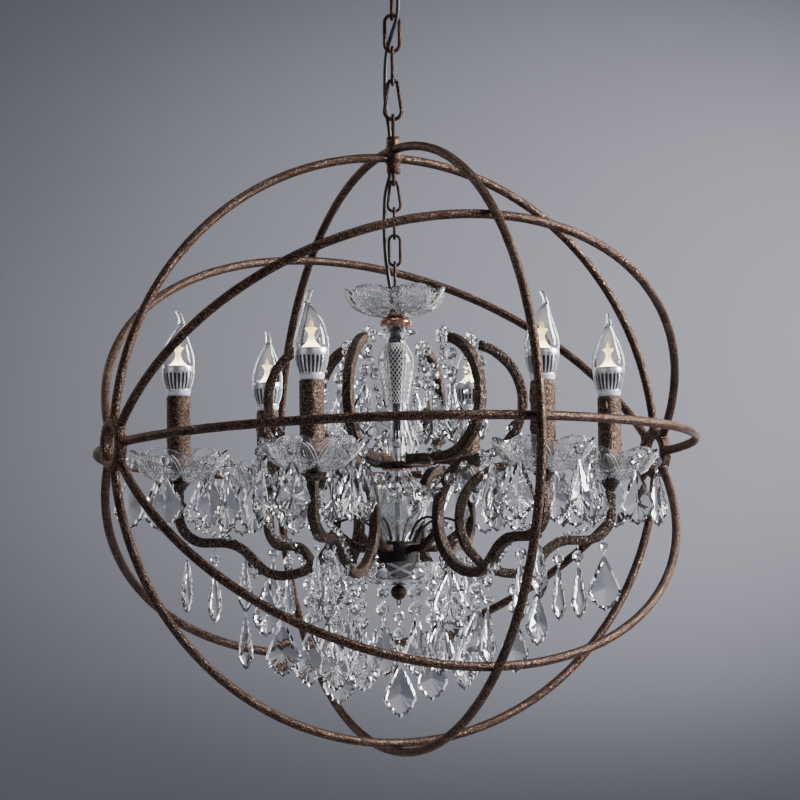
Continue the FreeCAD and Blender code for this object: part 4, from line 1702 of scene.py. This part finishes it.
def step_cut(name: str, corners: Sequence[Point], edge: float, middle: float,
             steps: Sequence[Point], peak: float = 0.0) -> Piece:
    """A flat crystal whose two faces rise in cut steps.

    Args:
        name: Name of the mesh.
        corners: (x, z) round its outline.
        edge: Thickness at the rim.
        middle: Height that the steps close in on.
        steps: (rise, share of the width) of each step.
        peak: How far the middle of the last step stands out, with cuts that meet there.

    Returns:
        The closed mesh.
    """
    plate = Blank.outline(name, corners).thicken(edge).outward()
    for way in (-1, 1):
        plate.select(lambda p, f, way=way: p.y * way > edge * 0.45, Part.FACE)
        for rise, share in steps:
            plate.push((0, rise * way, 0)).resize((share, 1, share), (0, 0, middle))
        if peak:
            bpy.ops.mesh.poke(offset=peak * MM)
    return plate.close()


def pointed(kind: Drop, half: float, *side: Point) -> list[Point]:
    """The outline of a pointed drop, from its right side in shares of half width and height."""
    right = [(x * half, z * kind.value) for x, z in side]
    return [*right, (0, -kind.value), *((-x, z) for x, z in reversed(right))]


@dataclass
class Crystals:
    """Beads, pendalogues and prisms on their wire pins."""

    gap: float = 5.5
    scroll_tip: Point = (
        UPPER_SCROLL[0] + UPPER_RADIUS * math.cos(math.radians(FREE_ANGLE)),
        UPPER_SCROLL[1] + UPPER_RADIUS * math.sin(math.radians(FREE_ANGLE)))
    masters: dict[Drop, Piece] = field(default_factory=dict)
    pins: list[Matrix] = field(default_factory=list)
    draw: random.Random = field(default_factory=lambda: random.Random(5))

    def cut_masters(self) -> None:
        """Cuts one crystal of each kind, and a knot of small beads."""
        r = Drop.BEAD.value / 2
        turns = [math.pi * (k + 0.5) / 4 for k in range(8)]
        self.masters = {
            Drop.BEAD: step_cut("bead_cut", [(r * math.sin(t), r * math.cos(t) - r)
                                             for t in turns], 1.4, -r, ((1.7, 0.55), (0.5, 0.35))),
            Drop.SMALL: Blank.ball("small_cut", 4.0, (0, 0, -4.0), 1).close(),
            Drop.PENDALOGUE: step_cut("pendalogue_cut", pointed(
                Drop.PENDALOGUE, 19.0, (0.08, 0.0), (0.24, -0.09), (0.40, -0.20), (0.47, -0.22),
                (0.62, -0.35), (0.70, -0.37), (0.86, -0.50), (0.97, -0.60), (1.0, -0.68),
                (0.84, -0.745), (0.78, -0.82), (0.54, -0.85), (0.44, -0.93), (0.16, -0.955)),
                1.6, -0.62 * Drop.PENDALOGUE.value, ((1.7, 0.82), (0.6, 0.62)), 0.7),
            Drop.ICICLE: step_cut("icicle_cut", pointed(
                Drop.ICICLE, 8.8, (0.14, 0.0), (0.34, -0.07), (0.44, -0.16), (0.54, -0.19),
                (0.60, -0.31), (0.72, -0.34), (0.78, -0.46), (0.90, -0.49), (0.92, -0.60),
                (1.0, -0.66), (0.94, -0.76), (0.62, -0.87), (0.28, -0.955)),
                2.2, -0.66 * Drop.ICICLE.value, ((2.0, 0.74), (0.9, 0.45)))}
        spots = [placed(pitch=tilt, yaw=72.0 * k + tilt) @ placed(z=11.0, size=0.62)
                 for tilt in (55, 125) for k in range(5)]
        spots += [placed(pitch=tilt) @ placed(z=12.0, size=0.62) for tilt in (0, 180)]
        self.masters[Drop.CLUSTER] = stamp("cluster_cut", self.masters[Drop.BEAD], spots,
                                           keep=True)

    def string(self, where: Point, yaw: float, *items: Drop) -> Places:
        """Places for a hanging row of crystals.

        Args:
            where: Top of the row.
            yaw: Compass angle that the crystals face along.
            items: The crystals from the top.

        Returns:
            The places for each kind of crystal.
        """
        places: Places = {}
        x, y, z = where
        for item in items:
            gap = self.gap
            if item is Drop.SMALL:
                gap = 2.0
            else:
                self.pins.append(placed(x, y, z - gap / 2, yaw=yaw + 90))
            z -= gap
            turn = yaw + self.draw.uniform(-24, 24)
            places.setdefault(item, []).append(
                placed(x, y, z, yaw=turn, roll=self.draw.uniform(-2, 2)))
            z -= item.value
        return places

    def hung(self, angle: float, radius: float, height: float, *items: Drop) -> Places:
        """A string that has turned freely about its hook.

        Args:
            angle: Compass angle of the hook.
            radius: Its distance from the axis.
            height: Its height.
            items: The crystals from the top.

        Returns:
            The places for each kind of crystal.
        """
        out = heading(angle) * radius
        yaw = FACING + self.draw.uniform(-48, 48)
        return self.string((out.x, out.y, height), yaw, *items)

    def clusters(self, angle: float, *spots: Point) -> Places:
        """Clusters in one arm's plane.

        Args:
            angle: Compass angle of the arm.
            spots: (distance from the axis, height) of each.

        Returns:
            The places of the clusters.
        """
        outs = [(heading(angle) * radius, height) for radius, height in spots]
        return {Drop.CLUSTER: [placed(out.x, out.y, z, yaw=angle + self.draw.uniform(0, 90))
                               for out, z in outs]}

    def piece(self, name: str, node: str, strings: Sequence[Places],
              body: str = CHANDELIER) -> None:
        """Joins strings of crystals into one piece.

        Args:
            name: Name of the piece.
            node: The CAD node that it stands for.
            strings: The places of its crystals.
            body: The body that it rides on.
        """
        parts = []
        for kind, master in self.masters.items():
            places = [place for string in strings for place in string.get(kind, [])]
            if places:
                parts.append(stamp(f"{name}_{kind.name.lower()}", master, places, keep=True))
        dress(merged(name, parts), CRYSTAL, body, node, smooth=3)

    def hang_pins(self, name: str, body: str) -> None:
        """Puts a small wire ring at every pin's place."""
        ring = Blank.hoop("pin_ring", 2.3, 0.5, (90, 0, 0), 10, 5)
        dress(stamp(name, ring.close(), self.pins), PIN_METAL, body, smooth=60)

    def dish_drops(self) -> None:
        """Drops round each drip dish, turned halfway from their hooks' lines to the front."""
        strings = []
        for angle, spread in itertools.product(ARM_ANGLES, (-125, -70, 0, 70, 125, 180)):
            out = heading(angle) * CANDLE_RADIUS + heading(angle + spread) * 54.0
            turn = (angle + spread + 90 - FACING + 90.0) % 180.0 - 90.0
            strings.append(self.string((out.x, out.y, -2.5), FACING + turn * 0.5, Drop.BEAD,
                                       Drop.PENDALOGUE))
        self.piece("dish_drop_crystals", "bobeche_drops", strings)

    def under_arms(self) -> None:
        """Strings and clusters along the underside of each arm, no two arms alike."""
        bead, small, leaf, ice = Drop.BEAD, Drop.SMALL, Drop.PENDALOGUE, Drop.ICICLE
        own = (
            ((101, -138.5, bead, bead, bead, leaf), (148, -142, leaf), (172, -118, ice, ice),
             (236, -98, bead, ice)),
            ((110, -142.5, bead, bead, bead, leaf), (152, -138, bead, bead, ice),
             (188, -111, leaf, bead, leaf), (236, -98, small, small, ice)),
            ((88, -130, leaf), (110, -142.5, bead, bead, bead, leaf),
             (152, -138, bead, bead, ice), (236, -98, small, ice)),
            ((90, -131, bead, bead, leaf), (158, -136, bead, leaf), (183, -112, bead, ice),
             (236, -98, bead, leaf)),
            ((104, -140, bead, bead, bead, bead, leaf), (158, -136, bead, leaf),
             (236, -98, small, small, ice)),
            ((110, -142.5, bead, bead, bead, bead, leaf), (152, -138, bead, bead, bead, ice),
             (236, -98, bead, ice)))
        every = ((131.0, -146.8, bead, bead, leaf), (206.0, -110.0, bead, ice))
        strings = []
        for angle, extra in zip(ARM_ANGLES, own):
            strings += [self.hung(angle, *row) for row in every + extra]
            strings.append(self.clusters(angle, (161, -132), (146, -20), (86, -128)))
            strings.append(self.beaded_arm(angle))
        self.piece("arm_drop_crystals", "arm_drops", strings)

    def beaded_arm(self, angle: float) -> Places:
        """Small beads along one side of an arm, from the cup to the cluster.

        Args:
            angle: Compass angle of the arm.

        Returns:
            The places of the small beads.
        """
        line = [(241, -62), (238, -71), (233, -79), (226, -86), (217, -91), (208, -94),
                (199, -96), (191, -99), (184, -104), (178, -111), (172, -118), (166, -124)]
        places = []
        for k, (radius, height) in enumerate(line):
            out = heading(angle) * radius + heading(angle + 90) * 7.5
            places.append(placed(out.x, out.y, height + 4, yaw=31.0 * k))
        return {Drop.SMALL: places}

    def skirt(self) -> None:
        """Strings round the bottom dish."""
        self.piece("skirt_crystals", "skirt_drops", [
            self.hung(45.0 * i, 49.0, -128.5, *[Drop.BEAD] * 3, Drop.PENDALOGUE)
            for i in range(8)])

    def scroll_tips(self) -> None:
        """Strings, teardrop loops and clusters at the upper scrolls."""
        r, z = self.scroll_tip
        strings = []
        for angle in ARM_ANGLES:
            strings += [self.hung(angle, r + 2.0, z - 6.0, Drop.BEAD, Drop.BEAD, Drop.ICICLE),
                        self.hung(angle, r - 30.0, z - 26.0, Drop.BEAD, Drop.PENDALOGUE),
                        self.loop(angle, r - 14.0, z - 6.0, 13.0, 88.0),
                        self.clusters(angle, (r - 10.0, z + 2.0), (134, 20), (64, -10))]
        self.piece("scroll_crystals", "scroll_drops", strings)

    def loop(self, angle: float, radius: float, top: float, half: float, drop: float,
             count: int = 24) -> Places:
        """A teardrop of small beads that hangs from one point, across the arm's plane.

        Args:
            angle: Compass angle of the arm.
            radius: Distance of the point from the axis.
            top: Its height.
            half: About half the teardrop's width.
            drop: How far it hangs down.
            count: Number of beads.

        Returns:
            The places of the small beads.
        """
        places = []
        for k in range(count):
            turn = 2 * math.pi * k / count
            down = (1 - math.cos(turn)) / 2
            out = heading(angle) * radius + heading(angle + 90) * (
                half * math.sin(turn) * down * 1.3)
            places.append(placed(out.x, out.y, top - drop * down, yaw=29.0 * k, size=0.85))
        return {Drop.SMALL: places}

    def garlands(self, count: int = 8, sag: float = 34.0) -> None:
        """Sagging rows of beads between neighbouring arms.

        Args:
            count: Beads in each row.
            sag: How far its middle hangs down.
        """
        end = SCROLL[0] + SCROLL_RADIUS * math.cos(math.radians(84))
        middle = end * math.cos(math.pi / 6)
        reach = end * math.sin(math.pi / 6) - 6.0
        beads = []
        for angle, k in itertools.product([a + 30.0 for a in ARM_ANGLES], range(count)):
            across = 2.0 * (k + 0.5) / count - 1.0
            slope = math.degrees(math.atan(2 * sag * across / reach))
            out = heading(angle) * middle + heading(angle + 90) * (reach * across)
            z = SCROLL[1] + SCROLL_RADIUS - sag * (1 - across * across)
            beads.append(placed(out.x, out.y, z, yaw=angle + 90, pitch=90 - slope)
                         @ placed(z=Drop.BEAD.value / 2))
        self.piece("garland_crystals", "bead_garlands", [{Drop.BEAD: beads}])

    def centre(self) -> None:
        """The strand below the finial, which swings on its eyelet."""
        kept, self.pins = self.pins, []
        strand = self.string((0, 0, -175.0), FACING, *[Drop.BEAD] * 3, Drop.PENDALOGUE)
        self.piece("centre_strand_crystals", "centre_strand", [strand], "centre_drop")
        self.hang_pins("centre_strand_pins", "centre_drop")
        self.pins = kept

    def build(self) -> None:
        """Cuts the masters and hangs every crystal."""
        self.cut_masters()
        self.dish_drops()
        self.under_arms()
        self.skirt()
        self.scroll_tips()
        self.garlands()
        self.centre()
        self.hang_pins("crystal_pins", CHANDELIER)
        for master in self.masters.values():
            bpy.data.objects.remove(master)


@dataclass
class Studio:
    """Camera, floor, wall and lights.

    panels are (name, place, size, watts) of the soft lights that are aimed at the cage, pools
    (name, place, aim, watts, cone in degrees) of those on the wall.
    """

    distance: float = 3015.0
    azimuth: float = 25.0
    tilt: float = -0.06
    roll: float = -0.012
    lens: float = 120.8
    shift: Point = (0.00375, 0.0612)
    panels: Sequence[tuple] = (
        ("key", (2200, -1200, 1000), (800, 1500), 275),
        ("rim", (-1500, 2300, 1500), (400, 1500), 16),
        ("right_back", (2100, 1900, 300), (400, 2000), 20),
        ("top", (0, 0, 2700), (1300, 1300), 32),
        ("front_left_panel", (-2845, -659, 200), (1800, 2800), 7),
        ("front_right_panel", (-78, -3714, 700), (1800, 1800), 9),
        ("back_left_panel", (-697, 3020, 300), (1500, 2600), 9),
        ("back_right_panel", (2736, 1371, 300), (1500, 2600), 14))
    pools: Sequence[tuple] = (
        ("wall_pool", (5200, 1900, 1500), (4080, 6700, 830), 1400, 48),
        ("wall_wash_front", (-2600, -3400, 1900), (2200, -7200, 700), 520, 84),
        ("wall_wash_left", (-3400, 900, 1900), (-7000, -2600, 700), 520, 84))

    def put(self, name: str, data: bpy.types.ID, place: Matrix) -> Piece:
        """Puts a camera or lamp in its place.

        Args:
            name: Name of the object.
            data: The camera or lamp.
            place: Its place in metres.

        Returns:
            The object.
        """
        made = bpy.data.objects.new(name, data)
        bpy.context.collection.objects.link(made)
        made.matrix_world = place
        return made

    def camera(self) -> None:
        """The camera at the photograph's place, looking at the middle of the cage."""
        a = math.radians(self.azimuth)
        back = Vector((-math.sin(a) * math.cos(self.tilt), -math.cos(a) * math.cos(self.tilt),
                       math.sin(self.tilt)))
        right = (-back).cross(Vector((0, 0, 1))).normalized()
        up = right.cross(-back)
        side = right * math.cos(self.roll) + up * math.sin(self.roll)
        over = up * math.cos(self.roll) - right * math.sin(self.roll)
        data = bpy.data.cameras.new("camera")
        data.lens = self.lens
        data.sensor_width = 36.0
        data.shift_x, data.shift_y = self.shift
        data.clip_start = 0.05
        data.clip_end = 60
        turn = Matrix((side, over, back)).transposed().to_4x4()
        bpy.context.scene.camera = self.put(
            "camera", data, Matrix.Translation(spot(*(back * self.distance))) @ turn)

    def stage(self) -> None:
        """A pale floor that runs up into a round wall."""
        wall = Blank.turning("studio_floor", [
            (0, -1150), (5200, -1150), (6000, -1080), (6800, -850), (7400, -400), (7700, 200),
            (7800, 1000), (7800, 5200)], RIM_SIDES)
        wall.select(lambda p, f: p.z > 5100, Part.FACE)
        bpy.ops.mesh.delete(type="FACE")
        wall.outward(inside=True)
        activate(wall.piece)
        bpy.ops.object.shade_smooth()
        coat(wall.piece, BACKDROP)

    def lamp(self, name: str, data: bpy.types.Light, power: float, where: Point,
             aim: Point) -> None:
        """Puts a lamp up.

        Args:
            name: Name of the lamp.
            data: The lamp.
            power: Its power in watts.
            where: Its place.
            aim: The point that it is aimed at.
        """
        data.energy = power
        place = spot(*where)
        turn = (spot(*aim) - place).to_track_quat("-Z", "Y").to_matrix().to_4x4()
        self.put(name, data, Matrix.Translation(place) @ turn)

    def lights(self) -> None:
        """Key from the right, wide dim panels for the glass, pools on the wall, a dim room."""
        for name, where, size, power in self.panels:
            data = bpy.data.lights.new(name, "AREA")
            data.shape = "RECTANGLE"
            data.size, data.size_y = (s * MM for s in size)
            self.lamp(name, data, power, where, (0, 0, 0))
        for name, where, aim, power, spread in self.pools:
            data = bpy.data.lights.new(name, "SPOT")
            data.spot_size = math.radians(spread)
            data.spot_blend = 1.0
            data.shadow_soft_size = 0.6
            self.lamp(name, data, power, where, aim)
        world = bpy.data.worlds.new("studio_air")
        world.use_nodes = True
        air = world.node_tree.nodes["Background"].inputs
        air["Color"].default_value = (0.75, 0.78, 0.85, 1)
        air["Strength"].default_value = 0.09
        bpy.context.scene.world = world

    def build(self) -> None:
        """Sets the studio up."""
        self.camera()
        self.stage()
        self.lights()


def main() -> None:
    """Builds every sub-assembly in order."""
    logging.basicConfig(level=logging.INFO, format="%(message)s")
    for assembly in (
            Studio(), CeilingEnd(),
            Chain("upper_link", "upper_chain", (532.2, 494.9, 457.6, 420.3), (46, 46, 46, 49),
                  width=21.0, wire=4.2, first=1, pear=3),
            Chain("inner_link", "inner_chain", (304.9, 274.0, 243.1, 212.2), (38, 38, 38, 35),
                  width=16.0, wire=3.4, first=0, pear=0),
            TopHub(), Cage(), Column(), Arms(), Candles(), Crystals(), Wiring()):
        assembly.build()
    log.info("sizes written")


if __name__ == "__main__":
    main()
